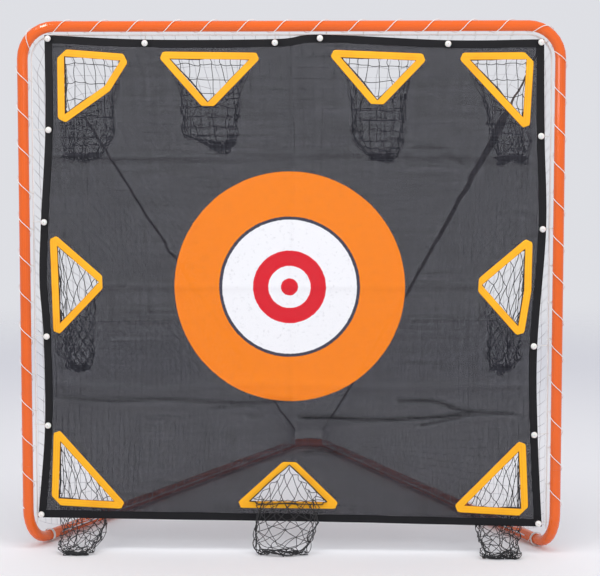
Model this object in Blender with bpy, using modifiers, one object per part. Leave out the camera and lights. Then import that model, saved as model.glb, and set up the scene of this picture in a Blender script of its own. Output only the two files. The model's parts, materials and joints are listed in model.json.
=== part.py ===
"""Lacrosse goal with a nine-pocket shooting target tied into its mouth.

Units are metres and +Z is up. Goal coordinates run x across the mouth, y from the plane
of the mouth towards the back, and z up from the ground. Every piece hangs on one empty
that moves these coordinates forward, so that the world origin lies on the ground at the
middle of the goal's footprint.
"""
import math

import bmesh
import bpy
from mathutils import Matrix, Vector

# The tube frame
MOUTH = 1.829                      # clear width, and clear height over the ground
TUBE_RADIUS = 0.019
TUBE_WALL = 0.0015
TUBE_SIDES = 16
BEND_STEPS = 8
TOP_BEND = 0.111                   # bend radii of the tubes' centrelines
FOOT_BEND = 0.120
REAR_BEND = 0.085
BASE_CORNER_DEPTH = 2.23           # where the lines of the two ground bars cross
POST_JOINT_HEIGHT = 0.30
GROUND_JOINT_RUN = 1.10            # from a post to the joint, along the ground bar
JOINT_GAP = 0.0004
REST_FACE_RUNS = (0.64, 0.74)      # ends of the flat underside left clear of the lacing

# The hardware of each tube joint
SLEEVE_RADIUS = 0.0168
SLEEVE_WALL = 0.0013
SLEEVE_HALF_LENGTH = 0.080
BUTTON_OFFSET = 0.040              # from the joint, along the tube
BUTTON_RADIUS = 0.0038
BUTTON_HOLE_RADIUS = 0.0043
BUTTON_HEAD_RADIUS = 0.0062
BUTTON_HEAD_LEVEL = 0.0119         # the head's underside, out from the tube's axis
BUTTON_HEAD_THICKNESS = 0.0015
BUTTON_PROUD = 0.003
BUTTON_CROWN = 0.0015              # height of the rounded tip
BUTTON_TURN_STEPS = 12
SPRING_WIDTH = 0.008
SPRING_GAUGE = 0.0007
# The folded strip as (along the tube from the button, out from the tube's axis)
SPRING_LINE = ((-0.006, 0.0111), (0.006, 0.0111), (0.030, 0.001), (0.036, -0.004),
               (0.030, -0.0095), (-0.006, -0.0128))

# The lacing that holds the net to the tubes
CORD_RADIUS = 0.0012
CORD_CLEARANCE = 0.0008
CORD_STEPS_A_TURN = 8
FRONT_PITCH = 0.128
GROUND_PITCH = 0.200
CLOSE_PITCH = 0.0045
CLOSE_TURNS = 3
FRONT_CORD_START = 0.150           # height of the front lacing's two ends
GROUND_CORD_START = 0.130          # along the ground bar from the post
GROUND_CORD_END = 2.16
FRONT_CORD_PHASE = 60.0
GROUND_CORD_PHASE = 0.0

# The target sheet: its corners and its cord fasteners as (x, z) in the mouth
SHEET_THICKNESS = 0.0020
WEBBING_THICKNESS = 0.0012
SKIN_GAP = 0.0003
BORDER_WIDTH = 0.026
TRIM_WIDTH = 0.025
TRIM_CLIP = 0.033                  # how much of each sharp corner the webbing cuts off
EDGE_INSET = 0.012                 # from the sheet's edge to the middle of a fastener
GROMMET_RADIUS = 0.005
TOP_FASTENERS = ((-0.842, 1.806), (-0.504, 1.790), (-0.052, 1.791),
                 (0.104, 1.806), (0.546, 1.786), (0.866, 1.791))
RIGHT_FASTENERS = ((0.869, 1.469), (0.878, 1.147), (0.852, 0.738), (0.857, 0.425))
LEFT_FASTENERS = ((-0.843, 1.490), (-0.862, 1.168), (-0.858, 0.765), (-0.857, 0.448))
BOTTOM_FASTENERS = ((-0.885, 0.128), (0.875, 0.109))
LEFT_BULGE = (-0.870, 0.960)       # the left edge swings out between two fasteners

# The nine openings, each by its corners as (x, z), anticlockwise
OPENINGS = {
    "top_left": ((-0.5475, 1.7515), (-0.8115, 1.772), (-0.8115, 1.497), (-0.628, 1.625)),
    "top_inner_left": ((-0.084, 1.757), (-0.475, 1.762), (-0.288, 1.549)),
    "top_inner_right": ((0.492, 1.752), (0.119, 1.768), (0.302, 1.555)),
    "top_right": ((0.843, 1.758), (0.565, 1.756), (0.829, 1.474)),
    "middle_left": ((-0.637, 0.958), (-0.845, 1.141), (-0.8355, 0.750)),
    "middle_right": ((0.845, 1.133), (0.6346, 0.953), (0.814, 0.751), (0.842, 0.930)),
    "bottom_left": ((-0.568, 0.147), (-0.838, 0.452), (-0.851, 0.160)),
    "bottom_centre": ((-0.002, 0.343), (-0.208, 0.155), (0.192, 0.153)),
    "bottom_right": ((0.827, 0.423), (0.559, 0.147), (0.841, 0.133)),
}

# The pocket bags
BAG_POINTS = 12                    # points round a bag
BAG_THICKNESS = 0.002
BAG_SEAM = 0.004                   # the bag's mouth is this much wider than the opening
BAG_BACK = 0.0030                  # the mouth's distance behind the middle of the sheet
BAG_SHOULDER_DEPTH = 0.013         # from the mouth back to the bag's first ring
BAG_SHOULDER_BELLY = 0.035         # how much further back the top of that ring leans
BAG_SHOULDER_DROP = 0.004
# Hanging bags: the middle of the bag in x, and the height of its lowest point
HANGING_BAGS = {
    "top_left": (-0.715, 1.384),
    "top_inner_left": (-0.285, 1.402),
    "top_inner_right": (0.306, 1.378),
    "top_right": (0.768, 1.375),
    "middle_left": (-0.775, 0.629),
    "middle_right": (0.772, 0.637),
}
HANGING_LIP_DROP = 0.012           # the lip ring's height under the mouth
HANGING_BELLY_HEIGHT = 0.035       # the belly ring's height over the bag's lowest point
# Rings of a hanging bag, as (depth behind the mouth, half width, half depth)
HANGING_LIP = (0.050, 0.095, 0.040)
HANGING_BELLY = (0.042, 0.080, 0.032)
HANGING_END = (0.038, 0.050, 0.016)
BAG_REACH = 0.105                  # how far the bags lie out in front of the mouth
# Bags that reach the ground under the sheet: the middle of the bag in x
GROUND_BAGS = {"bottom_left": -0.735, "bottom_right": 0.741}
# Their rings, as (depth, height, half width, half depth, lean of the back edge)
GROUND_RINGS = ((0.046, 0.088, 0.100, 0.034, 0.0), (0.018, 0.040, 0.098, 0.022, -0.028),
                (-0.050, 0.030, 0.090, 0.004, -0.030), (-BAG_REACH, 0.012, 0.078, 0.0, -0.012))
# The bag that hangs out over the front of the sheet
FRONT_BAG = "bottom_centre"
FRONT_BAG_X = -0.012
FRONT_BAG_CLEARANCE = 0.004        # the mouth is this much narrower than the opening
FRONT_THROAT_DEPTH = -0.014
FRONT_THROAT_SHARE = 0.12          # how much the throat is drawn in from the mouth
FRONT_RINGS = ((-0.036, 0.112, 0.120, 0.024, -0.020), (-0.050, 0.055, 0.118, 0.030, 0.0),
               (-0.062, 0.0, 0.100, BAG_REACH - 0.062, 0.0))

# The rope along the net's front edge, inside the hoop and a little behind it
ROPE_RADIUS = 0.0025
ROPE_SIDES = 6
ROPE_INWARD = 0.030                # from the middle of the tube
ROPE_DEPTH = 0.014
ROPE_END_HEIGHT = 0.085

# Fasteners: a ball whose elastic hooks round the rope
BALL_RADIUS = 0.011
BALL_RINGS = 6
ELASTIC_RADIUS = 0.0015
ELASTIC_START = 0.003              # how far the elastic starts inside the ball
ELASTIC_BEHIND = 0.0048            # its depth where it leaves and reaches the grommet
ELASTIC_SPREAD = 0.0080            # between its two runs at the grommet
HOOK_CLEARANCE = 0.0012
HOOK_STEPS = 6

# The goal net
NET_THICKNESS = 0.003
NET_INSET = 0.034
NET_SECTIONS = 4
NET_REAR = 2.0
NET_REAR_TOP = 0.10
NET_BOTTOM = 0.030
NET_SAG = 0.035

# Worked out from the sizes above
POST_X = MOUTH / 2 + TUBE_RADIUS
CROSSBAR_Z = MOUTH + TUBE_RADIUS
CORD_CHORD = 1 - math.cos(math.pi / CORD_STEPS_A_TURN)
CORD_ORBIT = (TUBE_RADIUS + CORD_CLEARANCE + CORD_RADIUS) / (1 - CORD_CHORD)
GROUND_Z = CORD_ORBIT + CORD_RADIUS
HOOK_RADIUS = ROPE_RADIUS + ELASTIC_RADIUS + HOOK_CLEARANCE
BALL_OUT = SHEET_THICKNESS / 2 + SKIN_GAP + WEBBING_THICKNESS + SKIN_GAP + BALL_RADIUS
REAR_HALF_ANGLE = math.atan2(POST_X, BASE_CORNER_DEPTH)
TUBE_FLAT = TUBE_RADIUS * math.cos(math.pi / TUBE_SIDES)
REAR_EXTENT = (BASE_CORNER_DEPTH - REAR_BEND * (1 / math.sin(REAR_HALF_ANGLE) - 1)
               + TUBE_FLAT)
ORIGIN_SHIFT = (BAG_REACH - REAR_EXTENT) / 2

POWDER_COAT = ("powder_coat", (0.80, 0.13, 0.01), 0.28, 0.0)
ZINC_STEEL = ("zinc_steel", (0.62, 0.63, 0.64), 0.35, 1.0)
SPRING_STEEL = ("spring_steel", (0.42, 0.43, 0.45), 0.30, 1.0)
MESH_FABRIC = ("mesh_fabric", (0.045, 0.045, 0.055), 0.85, 0.0)
BLACK_WEBBING = ("black_webbing", (0.012, 0.012, 0.014), 0.80, 0.0)
YELLOW_WEBBING = ("yellow_webbing", (0.95, 0.42, 0.02), 0.75, 0.0)
BLACK_NET = ("black_net", (0.015, 0.015, 0.017), 0.80, 0.0)
WHITE_NET = ("white_net", (0.85, 0.86, 0.88), 0.80, 0.0)
WHITE_CORD = ("white_cord", (0.88, 0.87, 0.84), 0.75, 0.0)
WHITE_PLASTIC = ("white_plastic", (0.86, 0.84, 0.78), 0.40, 0.0)


def clear_scene():
    """Remove whatever the file starts with."""
    for thing in list(bpy.data.objects):
        bpy.data.objects.remove(thing, do_unlink=True)


def new_collection(name):
    """A fresh collection in the scene."""
    collection = bpy.data.collections.new(name)
    bpy.context.scene.collection.children.link(collection)
    return collection


clear_scene()
GOAL = new_collection("lacrosse_goal")
CUTTERS = new_collection("cutters")


def new_group_origin():
    """The empty that carries every piece, with the footprint's middle on the origin."""
    empty = bpy.data.objects.new("goal_origin", None)
    empty.location = (0, ORIGIN_SHIFT, 0)
    GOAL.objects.link(empty)
    return empty


GROUP_ORIGIN = new_group_origin()


def make_material(name, finish):
    """A Principled BSDF with a finish's colour, roughness and metallic value."""
    _, colour, roughness, metallic = finish
    material = bpy.data.materials.new(name + "_" + finish[0])
    material.use_nodes = True
    shader = material.node_tree.nodes["Principled BSDF"]
    shader.inputs["Base Color"].default_value = (*colour, 1)
    shader.inputs["Roughness"].default_value = roughness
    shader.inputs["Metallic"].default_value = metallic
    material.diffuse_color = (*colour, 1)
    return material


def add_piece(name, data, finish, matrix=None):
    """Put a piece of the goal in its collection, under the group's origin."""
    piece = bpy.data.objects.new(name, data)
    GOAL.objects.link(piece)
    piece.parent = GROUP_ORIGIN
    if matrix is not None:
        piece.matrix_local = matrix
    data.materials.append(make_material(name, finish))
    return piece


def add_cutter(name, data, matrix=None):
    """Put a cutter or a joining shape in its own collection, hidden."""
    cutter = bpy.data.objects.new(name, data)
    CUTTERS.objects.link(cutter)
    cutter.parent = GROUP_ORIGIN
    if matrix is not None:
        cutter.matrix_local = matrix
    cutter.hide_render = True
    cutter.display_type = "WIRE"
    return cutter


def boolean(piece, other, operation):
    """Cut or join a piece with another mesh object."""
    modifier = piece.modifiers.new(other.name, "BOOLEAN")
    modifier.operation = operation
    modifier.solver = "EXACT"
    modifier.object = other


def solidify(piece, thickness, offset=-1.0, even=True):
    """Give an open surface its thickness; even keeps it the same round sharp corners."""
    modifier = piece.modifiers.new("thickness", "SOLIDIFY")
    modifier.thickness = thickness
    modifier.offset = offset
    modifier.use_even_offset = even


def round_curve(name, points, radius, sides, caps, turn=0.0):
    """A straight-run curve with a round section of the given number of sides."""
    curve = bpy.data.curves.new(name, "CURVE")
    curve.dimensions = "3D"
    curve.bevel_depth = radius
    curve.bevel_resolution = (sides - 4) // 2
    curve.use_fill_caps = caps
    spline = curve.splines.new("POLY")
    spline.points.add(len(points) - 1)
    for target, point in zip(spline.points, points):
        target.co = (*point, 1)
        target.tilt = math.pi / sides + turn
    return curve


def mesh_from_curve(curve, weld):
    """The mesh of a curve, with its caps welded where it has them."""
    holder = bpy.data.objects.new("holder", curve)
    CUTTERS.objects.link(holder)
    graph = bpy.context.evaluated_depsgraph_get()
    mesh = bpy.data.meshes.new_from_object(holder.evaluated_get(graph))
    bpy.data.objects.remove(holder, do_unlink=True)
    if weld:
        work = bmesh.new()
        work.from_mesh(mesh)
        bmesh.ops.remove_doubles(work, verts=work.verts, dist=1e-6)
        work.to_mesh(mesh)
        work.free()
    mesh.name = curve.name
    return mesh


def smooth(mesh):
    """Shade a round piece smooth, and keep its real edges sharp."""
    mesh.shade_smooth()
    mesh.set_sharp_from_angle(angle=math.radians(40))


# ---------------------------------------------------------------- tube frame

def bent_path(corners, radius, steps=BEND_STEPS):
    """Points along straight runs whose inner corners are bent to a radius."""
    points = [corners[0]]
    for before, corner, after in zip(corners, corners[1:], corners[2:]):
        towards = (before - corner).normalized()
        onwards = (after - corner).normalized()
        half_angle = towards.angle(onwards) / 2
        middle = corner + (towards + onwards).normalized() * radius / math.sin(half_angle)
        run = radius / math.tan(half_angle)
        first = corner + towards * run - middle
        last = corner + onwards * run - middle
        for step in range(steps + 1):
            points.append(middle + first.slerp(last, step / steps) * radius)
    points.append(corners[-1])
    return points


def hollow_tube(name, path, radius, wall, finish, matrix=None, turn=0.0):
    """A bent tube, open at both ends, with its section turned about its middle."""
    mesh = mesh_from_curve(round_curve(name, path, radius, TUBE_SIDES, False, turn), False)
    smooth(mesh)
    tube = add_piece(name, mesh, finish, matrix)
    solidify(tube, wall)
    return tube


def post_foot(side):
    """Where a post's line meets its ground bar's line; side is -1 left or 1 right."""
    return Vector((side * POST_X, 0, GROUND_Z))


def rear_corner():
    """Where the lines of the two ground bars cross."""
    return Vector((0, BASE_CORNER_DEPTH, GROUND_Z))


def ground_direction(side):
    """The way one ground bar runs, from its post to the back."""
    return (rear_corner() - post_foot(side)).normalized()


def ground_point(side, run):
    """A point on a ground bar, at a distance from its post."""
    return post_foot(side) + ground_direction(side) * run


def hoop_path(end_height, inward=0.0, depth=0.0):
    """The centreline up the left post, over the crossbar and down the right post.

    A line inside the hoop runs inward of that, and at some depth behind it.
    """
    side = POST_X - inward
    top = CROSSBAR_Z - inward
    corners = [Vector((-side, depth, end_height)), Vector((-side, depth, top)),
               Vector((side, depth, top)), Vector((side, depth, end_height))]
    return bent_path(corners, TOP_BEND - inward)


def build_tubes():
    """The four bent tubes of the frame, by name."""
    half_gap = JOINT_GAP / 2
    heading = math.atan2(POST_X, BASE_CORNER_DEPTH)
    level_turn = heading - math.tau / TUBE_SIDES
    tubes = {"top_hoop": hollow_tube("top_hoop", hoop_path(POST_JOINT_HEIGHT + half_gap),
                                     TUBE_RADIUS, TUBE_WALL, POWDER_COAT)}
    for word, side in (("left", -1), ("right", 1)):
        name = word + "_foot_bend"
        corners = [Vector((side * POST_X, 0, POST_JOINT_HEIGHT - half_gap)), post_foot(side),
                   ground_point(side, GROUND_JOINT_RUN - half_gap)]
        path = bent_path(corners, FOOT_BEND)
        path[-1:-1] = [ground_point(side, run) for run in REST_FACE_RUNS]
        tubes[name] = hollow_tube(name, path, TUBE_RADIUS, TUBE_WALL, POWDER_COAT,
                                  turn=-side * level_turn)
    ends = [ground_point(side, GROUND_JOINT_RUN + half_gap) for side in (-1, 1)]
    path = bent_path([ends[0], rear_corner(), ends[1]], REAR_BEND)
    tubes["rear_bend"] = hollow_tube("rear_bend", path, TUBE_RADIUS, TUBE_WALL, POWDER_COAT)
    return tubes


def joint_frame(middle, along, outward):
    """A matrix whose X runs along the tube and whose Z points out through the button."""
    across = outward.cross(along)
    matrix = Matrix((along, across, outward)).transposed().to_4x4()
    matrix.translation = middle
    return matrix


def button_mesh(name):
    """The turned snap button, standing on its flat head."""
    head_top = BUTTON_HEAD_LEVEL + BUTTON_HEAD_THICKNESS
    tip = TUBE_RADIUS + BUTTON_PROUD
    profile = [(0, tip), (BUTTON_RADIUS * 0.6, tip - BUTTON_CROWN / 5),
               (BUTTON_RADIUS, tip - BUTTON_CROWN), (BUTTON_RADIUS, head_top),
               (BUTTON_HEAD_RADIUS, head_top), (BUTTON_HEAD_RADIUS, BUTTON_HEAD_LEVEL),
               (0, BUTTON_HEAD_LEVEL)]
    mesh = bpy.data.meshes.new(name)
    edges = [(index, index + 1) for index in range(len(profile) - 1)]
    mesh.from_pydata([(radius, 0, level) for radius, level in profile], edges, [])
    return mesh


def add_button(name, matrix):
    """A snap button with its origin on the tube's axis, under its hole."""
    button = add_piece(name, button_mesh(name), ZINC_STEEL,
                       matrix @ Matrix.Translation((BUTTON_OFFSET, 0, 0)))
    screw = button.modifiers.new("turn", "SCREW")
    screw.axis = "Z"
    screw.steps = BUTTON_TURN_STEPS
    screw.render_steps = BUTTON_TURN_STEPS
    screw.use_merge_vertices = True
    screw.merge_threshold = 0.00001
    return button


def add_leaf_spring(name, matrix):
    """The folded strip that pushes a button outward."""
    work = bmesh.new()
    rails = [[work.verts.new((x, edge * SPRING_WIDTH / 2, z)) for x, z in SPRING_LINE]
             for edge in (-1, 1)]
    for index in range(len(SPRING_LINE) - 1):
        work.faces.new((rails[0][index], rails[0][index + 1],
                        rails[1][index + 1], rails[1][index]))
    mesh = bpy.data.meshes.new(name)
    work.to_mesh(mesh)
    work.free()
    spring = add_piece(name, mesh, SPRING_STEEL,
                       matrix @ Matrix.Translation((BUTTON_OFFSET, 0, 0)))
    solidify(spring, SPRING_GAUGE, 0.0)


def add_button_hole(name, matrix, pieces):
    """Drill a button's hole through the wall of each piece."""
    depth = 2 * TUBE_RADIUS - BUTTON_HEAD_LEVEL
    work = bmesh.new()
    bmesh.ops.create_cone(work, cap_ends=True, segments=16, radius1=BUTTON_HOLE_RADIUS,
                          radius2=BUTTON_HOLE_RADIUS, depth=depth)
    mesh = bpy.data.meshes.new(name)
    work.to_mesh(mesh)
    work.free()
    level = BUTTON_HEAD_LEVEL + depth / 2
    place = matrix @ Matrix.Translation((BUTTON_OFFSET, 0, level))
    cutter = add_cutter(name, mesh, place)
    for piece in pieces:
        boolean(piece, cutter, "DIFFERENCE")


def build_joint(name, matrix, drilled_tube):
    """The sleeve, snap button and leaf spring of one tube joint."""
    path = [Vector((-SLEEVE_HALF_LENGTH, 0, 0)), Vector((SLEEVE_HALF_LENGTH, 0, 0))]
    sleeve = hollow_tube(name + "_sleeve", path, SLEEVE_RADIUS, SLEEVE_WALL, ZINC_STEEL,
                         matrix)
    add_button_hole(name + "_hole", matrix, (sleeve, drilled_tube))
    add_button(name + "_button", matrix)
    add_leaf_spring(name + "_spring", matrix)


def build_joints(tubes):
    """One joint in each post and one in each ground bar."""
    up = Vector((0, 0, 1))
    back = Vector((0, 1, 0))
    for word, side in (("left", -1), ("right", 1)):
        middle = Vector((side * POST_X, 0, POST_JOINT_HEIGHT))
        build_joint(word + "_post", joint_frame(middle, up, back), tubes["top_hoop"])
        frame = joint_frame(ground_point(side, GROUND_JOINT_RUN), ground_direction(side), up)
        build_joint(word + "_ground", frame, tubes["rear_bend"])


# ------------------------------------------------------------------- lacing

def point_along(path, distance):
    """The point and the direction at a distance along a path of straight runs."""
    for start, end in zip(path, path[1:]):
        length = (end - start).length
        if distance <= length:
            break
        distance -= length
    direction = (end - start).normalized()
    return start + direction * min(distance, length), direction


def path_length(path):
    """The whole length of a path."""
    return sum((end - start).length for start, end in zip(path, path[1:]))


def wound_points(path, plane_normal, sections, phase):
    """Points of a cord wound left-handed round a flat path, one section after another.

    Each section is a number of turns and their pitch; phase is the starting angle in
    degrees, from the side that the path bends towards.
    """
    points = []
    distance = 0.0
    angle = math.radians(phase)
    for turns, pitch in sections:
        for _ in range(round(turns * CORD_STEPS_A_TURN)):
            middle, direction = point_along(path, distance)
            side = plane_normal.cross(direction)
            arm = side * math.cos(angle) + plane_normal * math.sin(angle)
            points.append(middle + arm * CORD_ORBIT)
            distance += pitch / CORD_STEPS_A_TURN
            angle -= 2 * math.pi / CORD_STEPS_A_TURN
    return points


def add_cord(name, points, radius=CORD_RADIUS, sides=4):
    """A cord through a list of points."""
    mesh = mesh_from_curve(round_curve(name, points, radius, sides, True), True)
    add_piece(name, mesh, WHITE_CORD)


def build_lacing():
    """The net's edge rope, the cord round the hoop, and one cord round each ground bar."""
    add_cord("net_edge_rope", hoop_path(ROPE_END_HEIGHT, ROPE_INWARD, ROPE_DEPTH), ROPE_RADIUS,
             ROPE_SIDES)
    path = hoop_path(FRONT_CORD_START)
    turns = path_length(path) / FRONT_PITCH
    add_cord("front_lacing", wound_points(path, Vector((0, -1, 0)), [(turns, FRONT_PITCH)],
                                          FRONT_CORD_PHASE))
    for word, side in (("left", -1), ("right", 1)):
        path = [ground_point(side, GROUND_CORD_START), ground_point(side, GROUND_CORD_END)]
        turns = (path_length(path) - CLOSE_TURNS * CLOSE_PITCH) / GROUND_PITCH
        sections = [(CLOSE_TURNS, CLOSE_PITCH), (turns, GROUND_PITCH)]
        add_cord(word + "_ground_lacing",
                 wound_points(path, Vector((0, 0, 1)), sections, GROUND_CORD_PHASE))


# ------------------------------------------------------------- target sheet

def upright(depth):
    """A matrix that stands a flat outline in the mouth, at a distance behind its plane."""
    return Matrix.Translation((0, depth, 0)) @ Matrix.Rotation(math.pi / 2, 4, "X")


def flat_piece(name, outlines, thickness, finish, depth):
    """A flat piece with holes, standing upright; the first outline is its outer edge."""
    curve = bpy.data.curves.new(name, "CURVE")
    curve.dimensions = "2D"
    curve.fill_mode = "BOTH"
    curve.extrude = thickness / 2
    for outline in outlines:
        spline = curve.splines.new("POLY")
        spline.points.add(len(outline) - 1)
        spline.use_cyclic_u = True
        for target, (x, z) in zip(spline.points, outline):
            target.co = (x, z, 0, 1)
    mesh = mesh_from_curve(curve, True)
    return add_piece(name, mesh, finish, upright(depth))


def inset(outline, distance):
    """An anticlockwise outline, moved inward by a distance."""
    result = []
    for index, here in enumerate(outline):
        before = Vector(outline[index - 1])
        after = Vector(outline[(index + 1) % len(outline)])
        first = (Vector(here) - before).normalized()
        second = (after - Vector(here)).normalized()
        first_normal = Vector((-first.y, first.x))
        second_normal = Vector((-second.y, second.x))
        mitre = (first_normal + second_normal) / (1 + first_normal.dot(second_normal))
        result.append(Vector(here) + mitre * distance)
    return result


def clipped(corners, clip):
    """An outline with its sharp corners cut off; blunt corners stay."""
    result = []
    for index, here in enumerate(corners):
        here = Vector(here)
        to_before = (Vector(corners[index - 1]) - here).normalized()
        to_after = (Vector(corners[(index + 1) % len(corners)]) - here).normalized()
        if to_before.angle(to_after) > math.radians(110):
            result.append(here)
        else:
            result.extend((here + to_before * clip, here + to_after * clip))
    return result


def smooth_run(points, steps=2):
    """Points on a smooth curve through the given ones, without the last."""
    points = [Vector(point) for point in points]
    ends = [2 * points[0] - points[1], *points, 2 * points[-1] - points[-2]]
    result = []
    for index in range(1, len(ends) - 2):
        before, start, end, after = ends[index - 1:index + 3]
        for step in range(steps):
            t = step / steps
            result.append(0.5 * (2 * start + (end - before) * t
                                 + (2 * before - 5 * start + 4 * end - after) * t ** 2
                                 + (3 * start - before - 3 * end + after) * t ** 3))
    return result


def sheet_outline():
    """The sheet's outer edge, anticlockwise: straight hems that the fasteners pull wavy."""
    def moved(point, x, z):
        return (point[0] + x * EDGE_INSET, point[1] + z * EDGE_INSET)

    top_left = moved(TOP_FASTENERS[0], -1, 1)
    top_right = moved(TOP_FASTENERS[-1], 0.8, 0.8)
    bottom_left = moved(BOTTOM_FASTENERS[0], -1, -1)
    bottom_right = moved(BOTTOM_FASTENERS[1], 1, -1)
    top = [moved(point, 0, 1) for point in TOP_FASTENERS[1:-1]]
    right = [moved(point, 1, 0) for point in RIGHT_FASTENERS]
    left = [moved(point, -1, 0) for point in LEFT_FASTENERS]
    left.insert(2, moved(LEFT_BULGE, -1, 0))
    outline = smooth_run([top_right, *reversed(top), top_left])
    outline += smooth_run([top_left, *left, bottom_left])
    outline += smooth_run([bottom_left, bottom_right], 1)
    outline += smooth_run([bottom_right, *reversed(right), top_right])
    return outline


def all_fasteners():
    """Every fastener's place in the sheet."""
    return [*TOP_FASTENERS, *RIGHT_FASTENERS, *LEFT_FASTENERS, *BOTTOM_FASTENERS]


def grommet_outlines():
    """The hole of each grommet."""
    angles = [step * math.pi / 3 for step in range(6)]
    return [[(x + GROMMET_RADIUS * math.cos(angle), z + GROMMET_RADIUS * math.sin(angle))
             for angle in angles] for x, z in all_fasteners()]


def opening_outline(name):
    """The clear edge of one opening."""
    return inset(OPENINGS[name], TRIM_WIDTH)


def build_sheet():
    """The sheet, the webbing round its edge, and the webbing round each opening."""
    outline = sheet_outline()
    holes = [opening_outline(name) for name in OPENINGS]
    flat_piece("target_sheet", [outline, *holes, *grommet_outlines()], SHEET_THICKNESS,
               MESH_FABRIC, 0)
    front = -(SHEET_THICKNESS / 2 + SKIN_GAP + WEBBING_THICKNESS / 2)
    flat_piece("border_webbing", [outline, inset(outline, BORDER_WIDTH), *grommet_outlines()],
               WEBBING_THICKNESS, BLACK_WEBBING, front)
    for name, corners in OPENINGS.items():
        flat_piece(name + "_trim", [clipped(corners, TRIM_CLIP), opening_outline(name)],
                   WEBBING_THICKNESS, YELLOW_WEBBING, front)


# -------------------------------------------------------------- pocket bags

def even_outline(outline):
    """The same number of points on each side of an outline, BAG_POINTS in all."""
    share = BAG_POINTS // len(outline)
    points = []
    for index, here in enumerate(outline):
        after = outline[(index + 1) % len(outline)]
        points.extend(here.lerp(after, step / share) for step in range(share))
    return points


def bag_ring(angles, middle_x, depth, height, half_width, half_depth, lean=0.0):
    """An oval ring of a bag; its upper mouth points go to the back.

    The ring lies level where lean is nought; otherwise its back edge is that much higher.
    """
    middle = Vector((middle_x, depth, height))
    across = Vector((half_width, 0, 0))
    deep = Vector((0, half_depth, lean))
    return [middle + across * math.cos(angle) + deep * math.sin(angle) for angle in angles]


def add_bag(name, rings):
    """A thin open-mouthed bag through its rings, closed at the last one."""
    work = bmesh.new()
    loops = [[work.verts.new(point) for point in ring] for ring in rings]
    for loop, following in zip(loops, loops[1:]):
        for index in range(BAG_POINTS):
            after = (index + 1) % BAG_POINTS
            work.faces.new((loop[index], following[index], following[after], loop[after]))
    work.faces.new(reversed(loops[-1]))
    mesh = bpy.data.meshes.new(name)
    work.to_mesh(mesh)
    work.free()
    bag = add_piece(name, mesh, BLACK_NET)
    solidify(bag, BAG_THICKNESS, even=False)


def mouth_ring(name, widen, depth):
    """The bag's mouth round its opening, and each mouth point's angle about the middle."""
    outline = even_outline(inset(opening_outline(name), -widen))
    middle = sum(outline, Vector((0, 0))) / len(outline)
    angles = [math.atan2(point.y - middle.y, point.x - middle.x) for point in outline]
    return [Vector((point.x, depth, point.y)) for point in outline], angles, middle


def shoulder_ring(mouth, angles):
    """The ring behind a mouth that starts the bag's belly."""
    return [point + Vector((0, BAG_SHOULDER_DEPTH + BAG_SHOULDER_BELLY * max(0, math.sin(angle)),
                            -BAG_SHOULDER_DROP))
            for point, angle in zip(mouth, angles)]


def build_hanging_bag(name, middle_x, bottom):
    """A bag behind its opening that hangs down empty."""
    mouth, angles, middle = mouth_ring(name, BAG_SEAM, BAG_BACK)
    lip_x = 0.3 * middle.x + 0.7 * middle_x
    lip_height = min(point.z for point in mouth) - HANGING_LIP_DROP
    rings = [mouth, shoulder_ring(mouth, angles)]
    for ring_x, height, (depth, half_width, half_depth) in (
            (lip_x, lip_height, HANGING_LIP),
            (middle_x, bottom + HANGING_BELLY_HEIGHT, HANGING_BELLY),
            (middle_x, bottom, HANGING_END)):
        rings.append(bag_ring(angles, ring_x, depth, height, half_width, half_depth))
    add_bag(name + "_pocket", rings)


def build_ground_bag(name, middle_x):
    """A bag behind its opening that runs out under the sheet along the ground."""
    mouth, angles, _ = mouth_ring(name, BAG_SEAM, BAG_BACK)
    rings = [mouth, shoulder_ring(mouth, angles)]
    rings += [bag_ring(angles, middle_x, *ring) for ring in GROUND_RINGS]
    add_bag(name + "_pocket", rings)


def build_front_bag():
    """The bag that is pulled out through its opening, over the front of the sheet."""
    mouth, angles, middle = mouth_ring(FRONT_BAG, -FRONT_BAG_CLEARANCE, BAG_BACK)
    angles = [-angle for angle in angles]
    drawn_to = Vector((middle.x, FRONT_THROAT_DEPTH, middle.y))
    throat = []
    for point in mouth:
        flat = Vector((point.x, FRONT_THROAT_DEPTH, point.z))
        throat.append(flat.lerp(drawn_to, FRONT_THROAT_SHARE))
    rings = [mouth, throat] + [bag_ring(angles, FRONT_BAG_X, *ring) for ring in FRONT_RINGS]
    add_bag(FRONT_BAG + "_pocket", [list(reversed(ring)) for ring in rings])


def build_bags():
    """All nine pocket bags."""
    for name, (middle_x, bottom) in HANGING_BAGS.items():
        build_hanging_bag(name, middle_x, bottom)
    for name, middle_x in GROUND_BAGS.items():
        build_ground_bag(name, middle_x)
    build_front_bag()


# --------------------------------------------------------------- fasteners

def hook_points(reach):
    """The elastic's route: out of the ball, through the sheet, round the rope and back.

    The route runs in x towards the tube and in y towards the back; reach is the distance
    from the ball to the middle of the rope.
    """
    points = [Vector((0, -BALL_OUT + ELASTIC_START, 0)), Vector((0, ELASTIC_BEHIND, 0))]
    for step in range(HOOK_STEPS + 1):
        angle = math.pi * (step / HOOK_STEPS - 0.5)
        points.append(Vector((reach + HOOK_RADIUS * math.cos(angle),
                              ROPE_DEPTH + HOOK_RADIUS * math.sin(angle), 0)))
    points.append(Vector((0, ELASTIC_BEHIND + ELASTIC_SPREAD, 0)))
    return points


def tube_point_near(x, z):
    """The middle of the frame's tube nearest to a fastener, as (x, z)."""
    corner_x = POST_X - TOP_BEND
    corner_z = CROSSBAR_Z - TOP_BEND
    if abs(x) > corner_x and z > corner_z:
        middle = Vector((math.copysign(corner_x, x), corner_z))
        return middle + (Vector((x, z)) - middle).normalized() * TOP_BEND
    if z > corner_z:
        return Vector((x, CROSSBAR_Z))
    return Vector((math.copysign(POST_X, x), z))


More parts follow.
